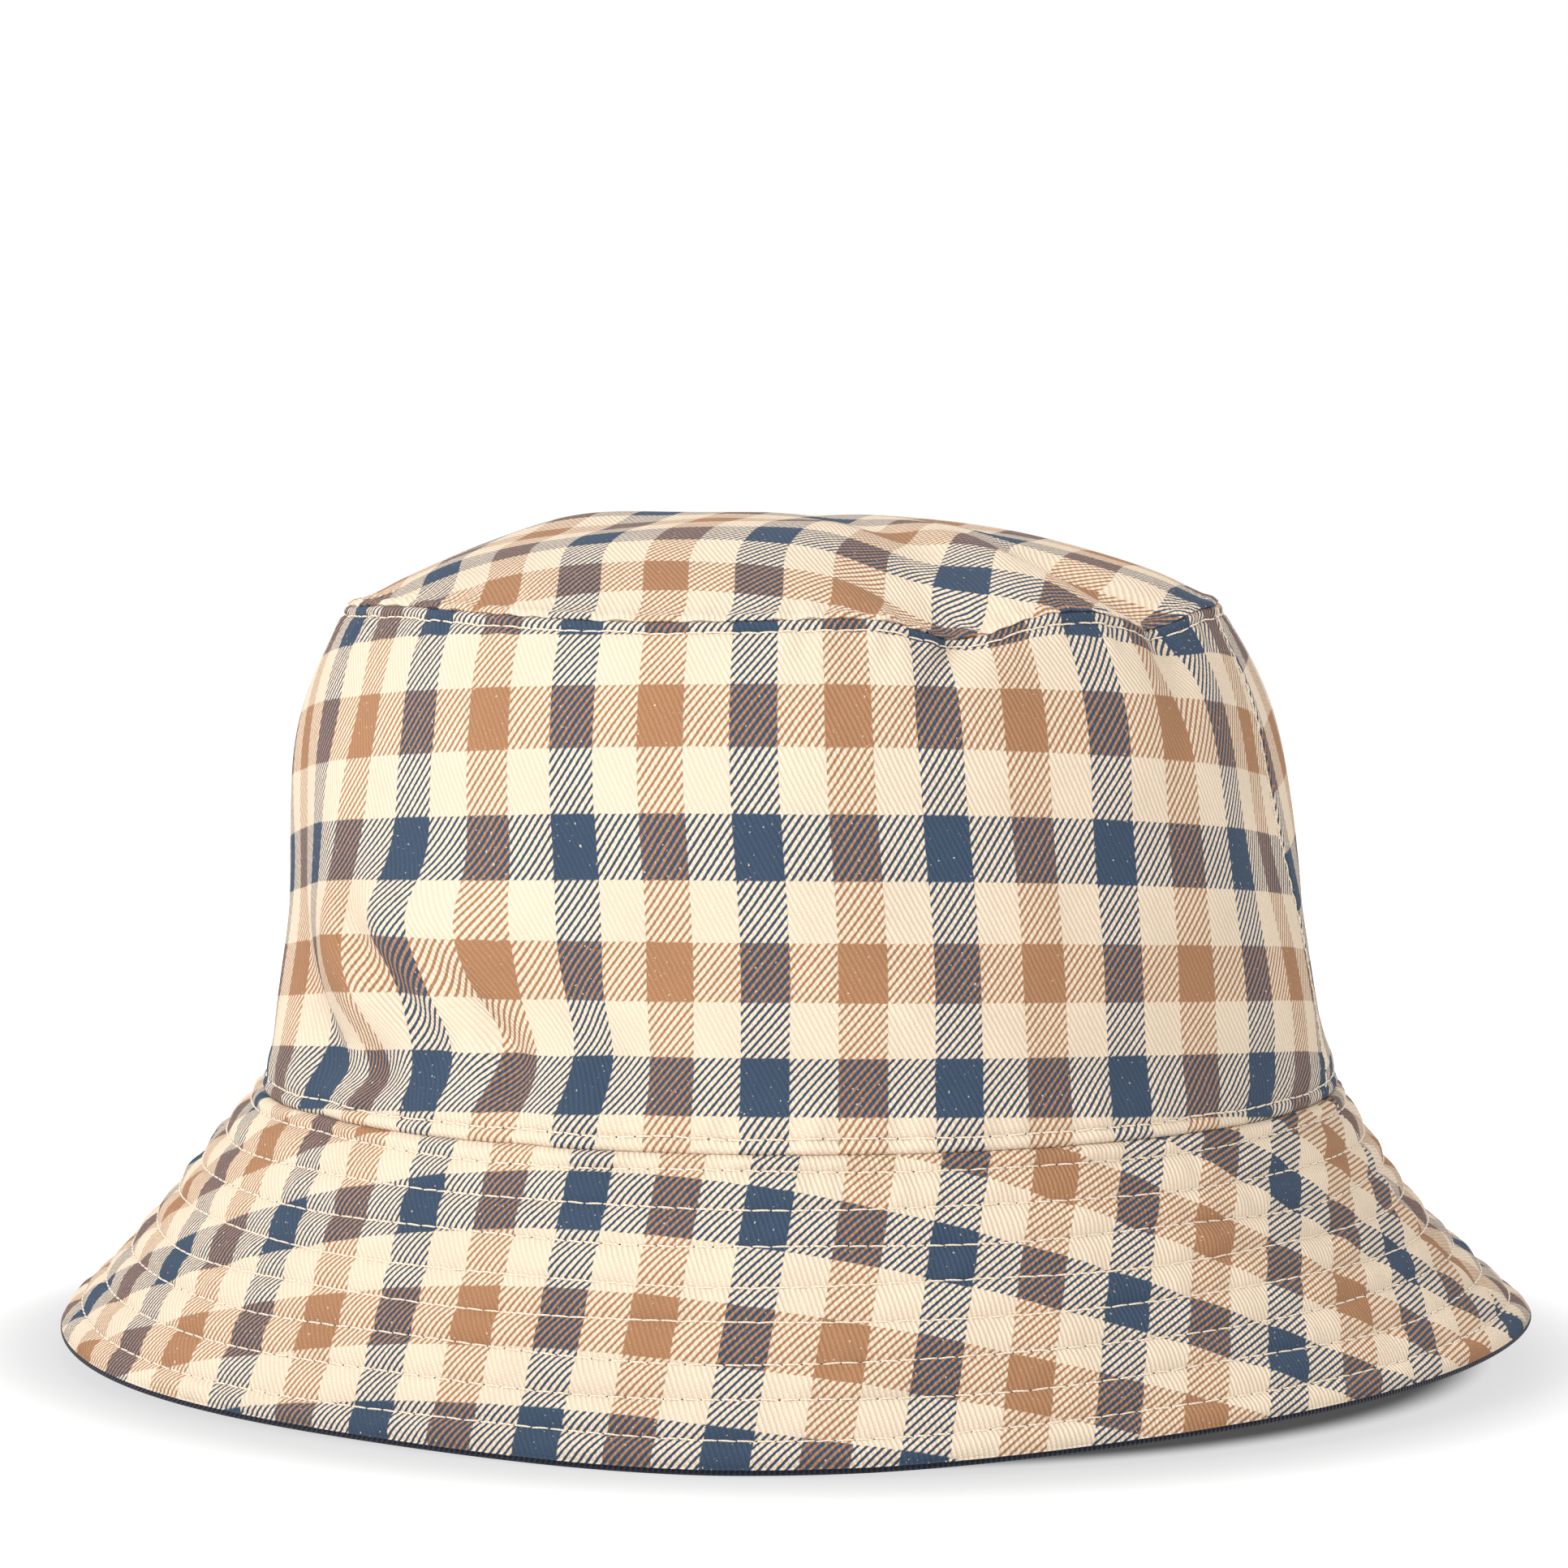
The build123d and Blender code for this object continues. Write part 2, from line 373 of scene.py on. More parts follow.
def grid_faces(rows, columns, start, wrap):
    """Four-sided faces of a grid of points numbered from start."""
    across = columns if wrap else columns - 1
    row, column = np.meshgrid(np.arange(rows - 1), np.arange(across), indexing="ij")
    after = (column + 1) % columns
    here, there = row * columns, (row + 1) * columns
    faces = np.stack([here + column, here + after, there + after, there + column], -1)
    return faces.reshape(-1, 4) + start


def new_piece(name, points, faces, flat=None):
    """A smooth-shaded object from points in metres, with the flat pattern as its UV map."""
    mesh = bpy.data.meshes.new(name)
    mesh.from_pydata(points.tolist(), [], faces)
    if flat is not None:
        layer = mesh.uv_layers.new(name="Pattern")
        corners = np.empty(len(mesh.loops), dtype=np.int32)
        mesh.loops.foreach_get("vertex_index", corners)
        layer.data.foreach_set("uv", flat[corners].astype(np.float32).ravel())
    mesh.shade_smooth()
    mesh.set_sharp_from_angle(angle=math.radians(60))
    mesh.update()
    piece = bpy.data.objects.new(name, mesh)
    bpy.context.scene.collection.objects.link(piece)
    return piece


def closed_ply(name, outer, inner, flat, wrap=False, centre=None):
    """A closed sheet of cloth from grids of its two faces; centre closes the last row in a point."""
    rows, columns = outer.shape[:2]
    count = rows * columns
    points = [outer.reshape(-1, 3), inner.reshape(-1, 3)]
    flats = [flat.reshape(-1, 2), flat.reshape(-1, 2)]
    face_out = grid_faces(rows, columns, 0, wrap)
    first = points[0][face_out[:, 0]]
    across = points[0][face_out[:, 2]] - first
    down = points[0][face_out[:, 3]] - points[0][face_out[:, 1]]
    facing = (np.cross(across, down) * (points[0] - points[1])[face_out[:, 0]]).sum()
    if facing < 0:
        face_out = face_out[:, ::-1]
    face_in = face_out[:, ::-1] + count
    faces = [face_out, face_in]
    rim = np.arange(columns if wrap else columns - 1)
    after = (rim + 1) % columns
    borders = [(rim, after, True)]
    if centre is None:
        last = (rows - 1) * columns
        borders.append((last + rim, last + after, False))
    if not wrap:
        side = np.arange(rows - 1) * columns
        borders.append((side, side + columns, False))
        borders.append((side + columns - 1, side + 2 * columns - 1, True))
    for one, two, ahead in borders:
        strip = np.stack([one, two, two + count, one + count], -1)
        if ahead == (facing >= 0):
            strip = strip[:, ::-1]
        faces.append(strip)
    faces = np.concatenate(faces).tolist()
    if centre is not None:
        outer_centre, inner_centre, flat_centre = centre
        points.append(np.stack([outer_centre, inner_centre]))
        flats.append(np.stack([flat_centre, flat_centre]))
        last = (rows - 1) * columns
        for one, two in zip((last + rim).tolist(), (last + after).tolist()):
            fan = [one, two, 2 * count]
            back = [two + count, one + count, 2 * count + 1]
            faces.append(fan if facing >= 0 else fan[::-1])
            faces.append(back if facing >= 0 else back[::-1])
    return new_piece(name, np.concatenate(points), faces, np.concatenate(flats))


def finish_piece(piece, material, node, body="hat"):
    """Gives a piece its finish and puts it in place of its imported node."""
    piece.data.materials.clear()
    piece.data.materials.append(material)
    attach(piece, body)
    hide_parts(node)
    return piece


def half_angles(half, count):
    """Angles from one side seam to the other."""
    middle = 0 if half == "front" else math.pi
    return middle + np.linspace(-math.pi / 2, math.pi / 2, count)


def pattern_angle(theta, half):
    """Angle from the middle of the panel."""
    return theta if half == "front" else theta - math.pi


# ---------------------------------------------------------------- crown


def side_runs(count):
    """Stations up the crown's side, closer together by its two rows of topstitching."""
    even = np.linspace(0, SIDE_LENGTH, count)
    fine = np.array([-1.1, -0.6, -0.3, -0.1, 0.1, 0.3, 0.6, 1.1]) * MM
    ends = np.array([0.25, 0.55, 0.9]) * MM
    extra = [BASE_STITCH_RUN + fine, TIP_STITCH_RUN + fine, ends, SIDE_LENGTH - ends]
    runs = np.unique(np.round(np.concatenate([even, *extra]), 6))
    return runs[(runs >= 0) & (runs <= SIDE_LENGTH)]


def side_relief(theta, run):
    """How far the outer cloth stands out: folds at both ends, puffed lips and the stitched grooves."""
    wobble = waves(theta, run, 41, (40, 110), 40)
    base_lip = 0.22 * bump(run, 0.5 * BASE_STITCH_RUN, 1.0 * MM) + 0.06 * bump(run, 0, 2.6 * MM)
    base_turn = -0.4 * bump(run, 0, 0.3 * MM)
    base_groove = -0.35 * bump(run, BASE_STITCH_RUN, 0.45 * MM)
    swell = 0.3 * bump(run, BASE_STITCH_RUN + 3.0 * MM, 2.2 * MM)
    lip_middle = (SIDE_LENGTH + TIP_STITCH_RUN) / 2
    tip_lip = 0.25 * bump(run, lip_middle, 0.8 * MM)
    tip_turn = -0.35 * bump(run, SIDE_LENGTH, 0.4 * MM)
    tip_groove = -0.3 * bump(run, TIP_STITCH_RUN, 0.45 * MM)
    near_base = bump(run, BASE_STITCH_RUN + 1.5 * MM, 4.0 * MM)
    near_tip = bump(run, TIP_STITCH_RUN - 1.5 * MM, 4.0 * MM)
    pucker = (0.16 * near_base + 0.2 * near_tip) * wobble
    seam = -0.5 * bump(np.abs(np.sin(theta)), 1, 0.00003) * np.ones_like(run)
    total = base_lip + base_turn + base_groove + swell + tip_lip + tip_turn + tip_groove
    return (total + pucker + seam) * MM


PRINT_DRIFT = 7 * MM  # sideways shift of the check near the crown seam, at one side of the front
DRIFT_ANGLE, DRIFT_WIDTH = -0.95, 0.6


def gathered(run):
    """How far the side's cloth has worked up or down from its even place."""
    middle = bump(run, 0.44 * SIDE_LENGTH, 14 * MM)
    base = 1.5 * bump(run, 8 * MM, 9 * MM)
    top = smooth(run, 0.66 * SIDE_LENGTH, 0.8 * SIDE_LENGTH)
    return (middle - base - top) * MM


def make_side(half, name, layer, columns, rows):
    """One ply of half of the crown's side, between two depths."""
    near, far, relief_share = layer
    theta, run = np.meshgrid(half_angles(half, columns), side_runs(rows), indexing="xy")
    relief = side_relief(theta, run)
    if not relief_share:
        relief = np.minimum(relief, 0)
    outer = settle(side_point(theta, run, near - relief))
    inner = settle(side_point(theta, run, far - relief))
    flat = flat_pattern(pattern_angle(theta, half), run + gathered(run), SIDE_CUT[half])
    drift = PRINT_DRIFT * bump(theta, DRIFT_ANGLE, DRIFT_WIDTH)
    flat[..., 0] += drift * smooth(run, 0.72 * SIDE_LENGTH, SIDE_LENGTH)
    return closed_ply(name, outer, inner, flat)


TIP_SHIFT = (-17.0 * MM, -45.0 * MM)  # where the check starts on the tip, from its middle
TIP_TURN = math.radians(1.5)


def tip_relief(theta, share):
    """The tip's cloth turns down into the crown seam with a puckered, rounded fold."""
    from_rim = (1 - share) * DOME_R * DOME_RIM
    wobble = waves(theta, 0 * share, 43, (40, 110), 1)
    fold = 0.35 * bump(from_rim, 0.9 * MM, 0.9 * MM)
    return (fold + 0.22 * wobble * bump(from_rim, 1.0 * MM, 4.5 * MM)) * MM


def make_tip(name, layer, columns, rings):
    """One ply of the domed tip, with a rounded rim that laps the side's top edge."""
    near, far, relief_share = layer
    shares = np.concatenate([1 - np.array([0, 0.25, 0.6, 1.0, 1.5, 2.1]) * MM / TIP_R,
                             np.linspace(1 - 3.0 * MM / TIP_R, 0.012, rings)])
    theta, share = np.meshgrid(np.linspace(-math.pi, math.pi, columns, endpoint=False), shares)
    relief = tip_relief(theta, share) * relief_share
    outer = tip_point(theta, share, near - relief)
    inner = tip_point(theta, share, far - relief)
    rim = bump(1 - share, 0, 0.9 * MM / TIP_R)[..., None] * relief_share
    outer += (outward(theta) * 0.35 * MM - 0.25 * MM * UP) * rim
    outer, inner = settle(outer), settle(inner)
    reach = share * DOME_RIM * DOME_R
    flat = np.stack([reach * np.sin(theta - TIP_TURN) - TIP_SHIFT[0],
                     -reach * np.cos(theta - TIP_TURN) - TIP_SHIFT[1]], -1)
    ends = [settle(tip_point(np.zeros(1), np.zeros(1), np.full(1, depth)))[0] for depth in (near, far)]
    centre = (ends[0], ends[1], -np.array(TIP_SHIFT))
    return closed_ply(name, outer, inner, flat, wrap=True, centre=centre)


def crown_layers():
    """Depths of the crown's plies, and how much of the seams' relief each one takes."""
    cloth = bpy.context.scene.hat_cloth
    middle = cloth.shell + cloth.ease
    inside = middle + cloth.interlining + cloth.ease
    return {
        "shell": (0.0, cloth.shell, 1.0),
        "interlining": (middle, middle + cloth.interlining, 0.0),
        "lining": (inside, inside + cloth.lining, 0.0),
    }


class HAT_OT_crown_tip(bpy.types.Operator):
    """Makes the domed check tip"""

    bl_idname = "hat.crown_tip"
    bl_label = "Crown Tip"

    def execute(self, context):
        piece = make_tip("crown_tip_cloth", crown_layers()["shell"], 420, 66)
        finish_piece(piece, check_twill(), "crown_tip")
        return {"FINISHED"}


class HAT_OT_crown_side(bpy.types.Operator):
    """Makes the front and back halves of the crown's side"""

    bl_idname = "hat.crown_side"
    bl_label = "Crown Side"

    def execute(self, context):
        for half in ("front", "back"):
            piece = make_side(half, f"crown_side_{half}_cloth", crown_layers()["shell"], 340, 100)
            finish_piece(piece, check_twill(), f"crown_side_{half}")
        return {"FINISHED"}


class HAT_OT_lining(bpy.types.Operator):
    """Makes the plain lining of the crown, its tip and both halves of its side"""

    bl_idname = "hat.lining"
    bl_label = "Lining"

    def execute(self, context):
        layer = crown_layers()["lining"]
        tip = make_tip("lining_tip_cloth", layer, 200, 36)
        finish_piece(tip, plain_twill(), "lining_tip")
        for half in ("front", "back"):
            piece = make_side(half, f"lining_side_{half}_cloth", layer, 180, 56)
            finish_piece(piece, plain_twill(), f"lining_side_{half}")
        return {"FINISHED"}


class HAT_OT_interlining(bpy.types.Operator):
    """Makes the hidden interlining of the tip and of both halves of the side"""

    bl_idname = "hat.interlining"
    bl_label = "Interlining"

    def execute(self, context):
        layer = crown_layers()["interlining"]
        tip = make_tip("tip_interlining_cloth", layer, 160, 28)
        finish_piece(tip, interlining_cloth(), "tip_interlining")
        for half in ("front", "back"):
            piece = make_side(half, f"side_interlining_{half}_cloth", layer, 140, 44)
            finish_piece(piece, interlining_cloth(), f"side_interlining_{half}")
        return {"FINISHED"}


# ---------------------------------------------------------------- brim


ROW_SHARES = [(BASE_Z - level) / BASE_Z for level in ROW_LEVELS]
EDGE_ROLL = 1.0 * MM
BRIM_SLANT = math.hypot(EDGE_FRONT - BRIM_R + (EDGE_SIDE - EDGE_FRONT) / 2, BASE_Z)
ROLL_SHARE = 1 - 1.45 * MM / BRIM_SLANT
STRIP_ENDS = [0.0, *ROW_SHARES, ROLL_SHARE]
STRIP_STATIONS = np.array([0, 0.03, 0.07, 0.13, 0.22, 0.36, 0.5, 0.64, 0.78, 0.87, 0.93, 0.97])


def row_share(theta, number):
    """Where a row of stitching runs, with the small wander of a sewn line."""
    base = STRIP_ENDS[number]
    if number in (0, len(STRIP_ENDS) - 1):
        return base + 0 * theta
    return base + 0.006 * waves(theta, 0 * theta, 50 + number, (2, 12), 1)


def brim_grid(half, columns, coarse=1):
    """Angles, shares of the slope and padding of one half of the brim, strip by strip."""
    angles = half_angles(half, columns)
    shares, padding = [], []
    for strip in range(len(STRIP_ENDS) - 1):
        low, high = row_share(angles, strip), row_share(angles, strip + 1)
        fullness = 1.0 + 0.22 * waves(angles, 0 * angles, 70 + strip, (6, 30), 1)
        for step in STRIP_STATIONS[::coarse]:
            shares.append(low + (high - low) * step)
            arch = max(math.sin(math.pi * step), 0) ** 0.75
            drag = 0.16 * waves(angles, strip * 0.02 + 0.006 * step + 0 * angles, 90 + strip, (40, 120), 60)
            padding.append(arch * fullness * (1 + drag) + 0.08 * drag)
    shares.append(row_share(angles, len(STRIP_ENDS) - 1))
    padding.append(0 * angles)
    theta = np.broadcast_to(angles, (len(shares), columns))
    return theta, np.array(shares), np.array(padding)


def brim_flat(theta, share, half):
    """Flat pattern of the brim."""
    run = share * brim_slant(theta)
    return flat_pattern(pattern_angle(theta, half), run, BRIM_CUT[half], down=True)


def brim_depths():
    """Depths of the brim's three plies."""
    cloth = bpy.context.scene.hat_cloth
    middle = cloth.lining + cloth.ease
    under = middle + cloth.lining + cloth.ease
    return middle, under, under + cloth.lining


def tuck(share):
    """The brim's cloth dips in under the base fold."""
    return 0.2 * MM * bump(share, 0, 0.018)


def edge_roll(angles, turns, reach):
    """Points round the brim's rolled edge; a half turn leads from the underside to the upper face."""
    wall = brim_depths()[2]
    points = []
    for turn in turns:
        swing = math.radians(turn)
        share = ROLL_SHARE + reach * math.sin(swing) / BRIM_SLANT + 0 * angles
        points.append(brim_point(angles, share, wall - EDGE_ROLL + reach * math.cos(swing) + 0 * angles))
    return np.array(points)


def roll_share(angles, turns, end):
    """How far along the cloth each point of the roll lies, as a share of the slope."""
    return np.array([ROLL_SHARE + EDGE_ROLL * math.radians(abs(turn - end)) / BRIM_SLANT + 0 * angles
                     for turn in turns])


class HAT_OT_brim_top(bpy.types.Operator):
    """Makes the two halves of the check brim, puffed between their rows of stitching"""

    bl_idname = "hat.brim_top"
    bl_label = "Brim Top"

    def execute(self, context):
        cloth = context.scene.hat_cloth
        for half in ("front", "back"):
            theta, share, padding = brim_grid(half, 350)
            height = padding * cloth.padding - tuck(share)
            turns = np.linspace(176, 161, 4)
            outer = [brim_point(theta, share, -height), edge_roll(theta[0], turns, EDGE_ROLL)]
            inner = [brim_point(theta, share, cloth.lining - height),
                     edge_roll(theta[0], turns, EDGE_ROLL - cloth.lining)]
            outer, inner = settle(np.concatenate(outer)), settle(np.concatenate(inner))
            share = np.concatenate([share, roll_share(theta[0], turns, 180)])
            theta = np.broadcast_to(theta[0], share.shape)
            piece = closed_ply(f"brim_top_{half}_cloth", outer, inner, brim_flat(theta, share, half))
            finish_piece(piece, check_twill(), f"brim_top_{half}")
        return {"FINISHED"}


class HAT_OT_brim_stiffener(bpy.types.Operator):
    """Makes the hidden stiffener of the brim"""

    bl_idname = "hat.brim_stiffener"
    bl_label = "Brim Stiffener"

    def execute(self, context):
        middle = brim_depths()[0]
        thick = context.scene.hat_cloth.lining
        for half in ("front", "back"):
            angles = half_angles(half, 160)
            theta, share = np.meshgrid(angles, np.linspace(0.04, ROLL_SHARE - 0.02, 40))
            outer = settle(brim_point(theta, share, middle + 0 * share))
            inner = settle(brim_point(theta, share, middle + thick + 0 * share))
            flat = brim_flat(theta, share, half)
            piece = closed_ply(f"brim_stiffener_{half}_cloth", outer, inner, flat)
            finish_piece(piece, interlining_cloth(), f"brim_stiffener_{half}")
        return {"FINISHED"}


class HAT_OT_under_brim(bpy.types.Operator):
    """Makes the plain under-brim, which rolls round the brim's edge and shows below the check"""

    bl_idname = "hat.under_brim"
    bl_label = "Under Brim"

    def execute(self, context):
        cloth = context.scene.hat_cloth
        wall = brim_depths()[2]
        thick = cloth.lining
        for half in ("front", "back"):
            theta, share, padding = brim_grid(half, 350)
            height = 0.55 * padding * cloth.padding
            face = brim_point(theta, share, wall + height)
            back = brim_point(theta, share, wall - thick + height)
            turns = np.linspace(4, 158, 17)
            face = settle(np.concatenate([face, edge_roll(theta[0], turns, EDGE_ROLL)]))
            back = settle(np.concatenate([back, edge_roll(theta[0], turns, EDGE_ROLL - thick)]))
            share = np.concatenate([share, roll_share(theta[0], turns, 0)])
            theta = np.broadcast_to(theta[0], share.shape)
            piece = closed_ply(f"under_brim_{half}_cloth", face, back, brim_flat(theta, share, half))
            finish_piece(piece, plain_twill(), f"under_brim_{half}")
        return {"FINISHED"}


# ---------------------------------------------------------------- stitching


class Wiring:
    """Adds nodes to a tree and joins them up."""

    def __init__(self, tree):
        self.tree = tree

    def put(self, socket, value):
        if isinstance(value, bpy.types.NodeSocket):
            self.tree.links.new(value, socket)
        else:
            socket.default_value = value

    def node(self, kind, values=(), **settings):
        made = self.tree.nodes.new(kind)
        for name, value in settings.items():
            setattr(made, name, value)
        for socket, value in dict(values).items():
            self.put(made.inputs[socket], value)
        return made

    def math(self, operation, *values):
        made = self.node("ShaderNodeMath", operation=operation)
        for socket, value in zip(made.inputs, values):
            self.put(socket, value)
        return made.outputs[0]

    def blend(self, factor, one, two):
        made = self.node("ShaderNodeMix", data_type="RGBA")
        self.put(made.inputs[0], factor)
        self.put(made.inputs[6], one)
        self.put(made.inputs[7], two)
        return made.outputs[2]

    def ramp(self, value, low, high):
        """A smooth rise from 0 at low to 1 at high, or a fall where low is above high."""
        made = self.node("ShaderNodeMapRange", interpolation_type="SMOOTHSTEP")
        for socket, number in zip(("Value", "From Min", "From Max"), (value, low, high)):
            self.put(made.inputs[socket], number)
        return made.outputs[0]


def stitch_tree():
    """Lays arched stitches along each line, and a small knot at each needle hole of a marked line."""
    found = bpy.data.node_groups.get("Stitch Row")
    if found:
        return found
    tree = bpy.data.node_groups.new("Stitch Row", "GeometryNodeTree")
    face = tree.interface
    face.new_socket("Line", in_out="INPUT", socket_type="NodeSocketGeometry")
    for name in ("Pitch", "Width"):
        face.new_socket(name, in_out="INPUT", socket_type="NodeSocketFloat")
    face.new_socket("Seed", in_out="INPUT", socket_type="NodeSocketInt")
    face.new_socket("Thread", in_out="INPUT", socket_type="NodeSocketMaterial")
    face.new_socket("Stitches", in_out="OUTPUT", socket_type="NodeSocketGeometry")
    wire = Wiring(tree)
    given = wire.node("NodeGroupInput").outputs
    curve = wire.node("GeometryNodeMeshToCurve", {"Mesh": given["Line"]})
    even = wire.node("GeometryNodeResampleCurve", {"Curve": curve.outputs[0], "Length": given["Pitch"]},
                     mode="LENGTH")
    marked = wire.node("GeometryNodeInputNamedAttribute", {"Name": "knot"}, data_type="FLOAT")
    away = wire.node("GeometryNodeInputNamedAttribute", {"Name": "away"}, data_type="FLOAT_VECTOR")
    along = wire.node("GeometryNodeInputTangent")
    aim = wire.node("FunctionNodeAxesToRotation", primary_axis="X", secondary_axis="Z",
                    values={"Primary Axis": along.outputs[0], "Secondary Axis": away.outputs[0]})
    parts = wire.node("GeometryNodeSeparateGeometry", domain="POINT",
                      values={"Geometry": even.outputs[0], "Selection": marked.outputs[0]})

    half = wire.math("MULTIPLY", given["Pitch"], 0.47)
    low = wire.math("MULTIPLY", given["Width"], -0.55)
    high = wire.math("MULTIPLY", given["Width"], 0.9)
    corners = []
    for side, level in ((-1, low), (0, high), (1, low)):
        across = wire.math("MULTIPLY", half, side)
        spot = wire.node("ShaderNodeCombineXYZ", {"X": across, "Z": level})
        corners.append(spot.outputs[0])
    arch = wire.node("GeometryNodeCurveQuadraticBezier", {"Resolution": 7})
    for name, corner in zip(("Start", "Middle", "End"), corners):
        wire.put(arch.inputs[name], corner)
    around = wire.node("GeometryNodeCurvePrimitiveCircle", mode="RADIUS",
                       values={"Resolution": 6, "Radius": wire.math("MULTIPLY", given["Width"], 0.5)})
    tube = wire.node("GeometryNodeCurveToMesh", {"Curve": arch.outputs[0], "Profile Curve": around.outputs[0],
                                                 "Fill Caps": True})
    spot = wire.node("GeometryNodeInputPosition")
    kept = wire.node("GeometryNodeStoreNamedAttribute", data_type="FLOAT_VECTOR", domain="POINT",
                     values={"Geometry": tube.outputs[0], "Name": "strand", "Value": spot.outputs[0]})
    uneven = wire.node("FunctionNodeRandomValue", data_type="FLOAT_VECTOR", values={"Seed": given["Seed"]})
    wire.put(uneven.inputs[0], (-0.05, -0.05, -0.07))
    wire.put(uneven.inputs[1], (0.05, 0.05, 0.07))
    turned = wire.node("FunctionNodeRotateRotation", rotation_space="LOCAL",
                       values={"Rotation": aim.outputs[0], "Rotate By": uneven.outputs[0]})
    stitches = wire.node("GeometryNodeInstanceOnPoints", {
        "Points": parts.outputs["Inverted"], "Instance": kept.outputs[0], "Rotation": turned.outputs[0]})

    ball = wire.node("GeometryNodeMeshUVSphere", {"Segments": 6, "Rings": 4,
                                                  "Radius": wire.math("MULTIPLY", given["Width"], 0.62)})
    flat = wire.node("GeometryNodeTransform", {"Geometry": ball.outputs[0], "Scale": (1.15, 0.9, 0.45)})
    shift = wire.node("ShaderNodeCombineXYZ", {"X": wire.math("MULTIPLY", given["Pitch"], 0.5)})
    moved = wire.node("GeometryNodeTransform", {"Geometry": flat.outputs[0], "Translation": shift.outputs[0]})
    knots = wire.node("GeometryNodeInstanceOnPoints", {
        "Points": parts.outputs["Selection"], "Instance": moved.outputs[0], "Rotation": aim.outputs[0]})
    both = wire.node("GeometryNodeJoinGeometry")
    for source in (knots, stitches):
        wire.put(both.inputs[0], source.outputs[0])
    real = wire.node("GeometryNodeRealizeInstances", {"Geometry": both.outputs[0]})
    shaded = wire.node("GeometryNodeSetShadeSmooth", {"Geometry": real.outputs[0]})
    dyed = wire.node("GeometryNodeSetMaterial", {"Geometry": shaded.outputs[0], "Material": given["Thread"]})
    wire.node("NodeGroupOutput", {"Stitches": dyed.outputs[0]})
    return tree


def line_mesh(name, lines):
    """Polylines of (points, away directions, closed, knotted) as one mesh for the stitch tree."""
    points, edges, away, knot = [], [], [], []
    for places, directions, closed, knotted in lines:
        start, count = len(points), len(places)
        points += places.tolist()
        away += directions.tolist()
        knot += [float(knotted)] * count
        edges += [(start + i, start + i + 1) for i in range(count - 1)]
        if closed:
            edges.append((start + count - 1, start))
    mesh = bpy.data.meshes.new(name)
    mesh.from_pydata(points, edges, [])
    layer = mesh.attributes.new("away", "FLOAT_VECTOR", "POINT")
    layer.data.foreach_set("vector", np.array(away, dtype=np.float32).ravel())
    layer = mesh.attributes.new("knot", "FLOAT", "POINT")
    layer.data.foreach_set("value", np.array(knot, dtype=np.float32))
    return mesh


def sew(name, lines, material, node):
    """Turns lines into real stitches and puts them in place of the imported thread."""
    settings = bpy.context.scene.hat_stitch
    guide = bpy.data.objects.new(name + "_guide", line_mesh(name + "_guide", lines))
    bpy.context.scene.collection.objects.link(guide)
    modifier = guide.modifiers.new("Stitches", "NODES")
    modifier.node_group = stitch_tree()
    given = {"Pitch": settings.pitch, "Width": settings.width, "Seed": settings.seed, "Thread": material}
    for item in modifier.node_group.interface.items_tree:
        if item.in_out == "INPUT" and item.name in given:
            modifier[item.identifier] = given[item.name]
    bpy.context.view_layer.update()
    made = guide.evaluated_get(bpy.context.evaluated_depsgraph_get())
    mesh = bpy.data.meshes.new_from_object(made)
    bpy.data.objects.remove(guide)
    mesh.name = name
    piece = bpy.data.objects.new(name, mesh)
    bpy.context.scene.collection.objects.link(piece)
    return finish_piece(piece, material, node)


def ring_angles(count=900):
    """Angles right round the hat."""
    return np.linspace(-math.pi, math.pi, count, endpoint=False)


def directions(near, far):
    """Unit directions from near points to far points."""
    apart = far - near
    return apart / np.linalg.norm(apart, axis=-1, keepdims=True)


def side_line(theta, run, lift, knotted=False, closed=True, depth=0.0, inside=False):
    """A line on the crown's side with the direction away from the cloth."""
    surface = depth + 0 * theta if inside else depth - side_relief(theta, run)
    way = 1 if inside else -1
    low = settle(side_point(theta, run, surface + way * lift))
    high = settle(side_point(theta, run, surface + way * (lift + 1 * MM)))
    return low, directions(low, high), closed, knotted


def wandering(theta, run, seed):
    """A line of topstitching that wanders a little from its mark."""
    return run + 0.14 * MM * waves(theta, 0 * theta, seed, (3, 40), 1)


def brim_line(theta, row, lift, under=False, knotted=False):
    """A row's line on the brim's upper face or on its underside."""
    share = row_share(theta, row + 1)
    depth = brim_depths()[2] + lift if under else -lift
    further = depth + (1 * MM if under else -1 * MM)
    low = settle(brim_point(theta, share, depth + 0 * theta))
    high = settle(brim_point(theta, share, further + 0 * theta))
    return low, directions(low, high), True, knotted


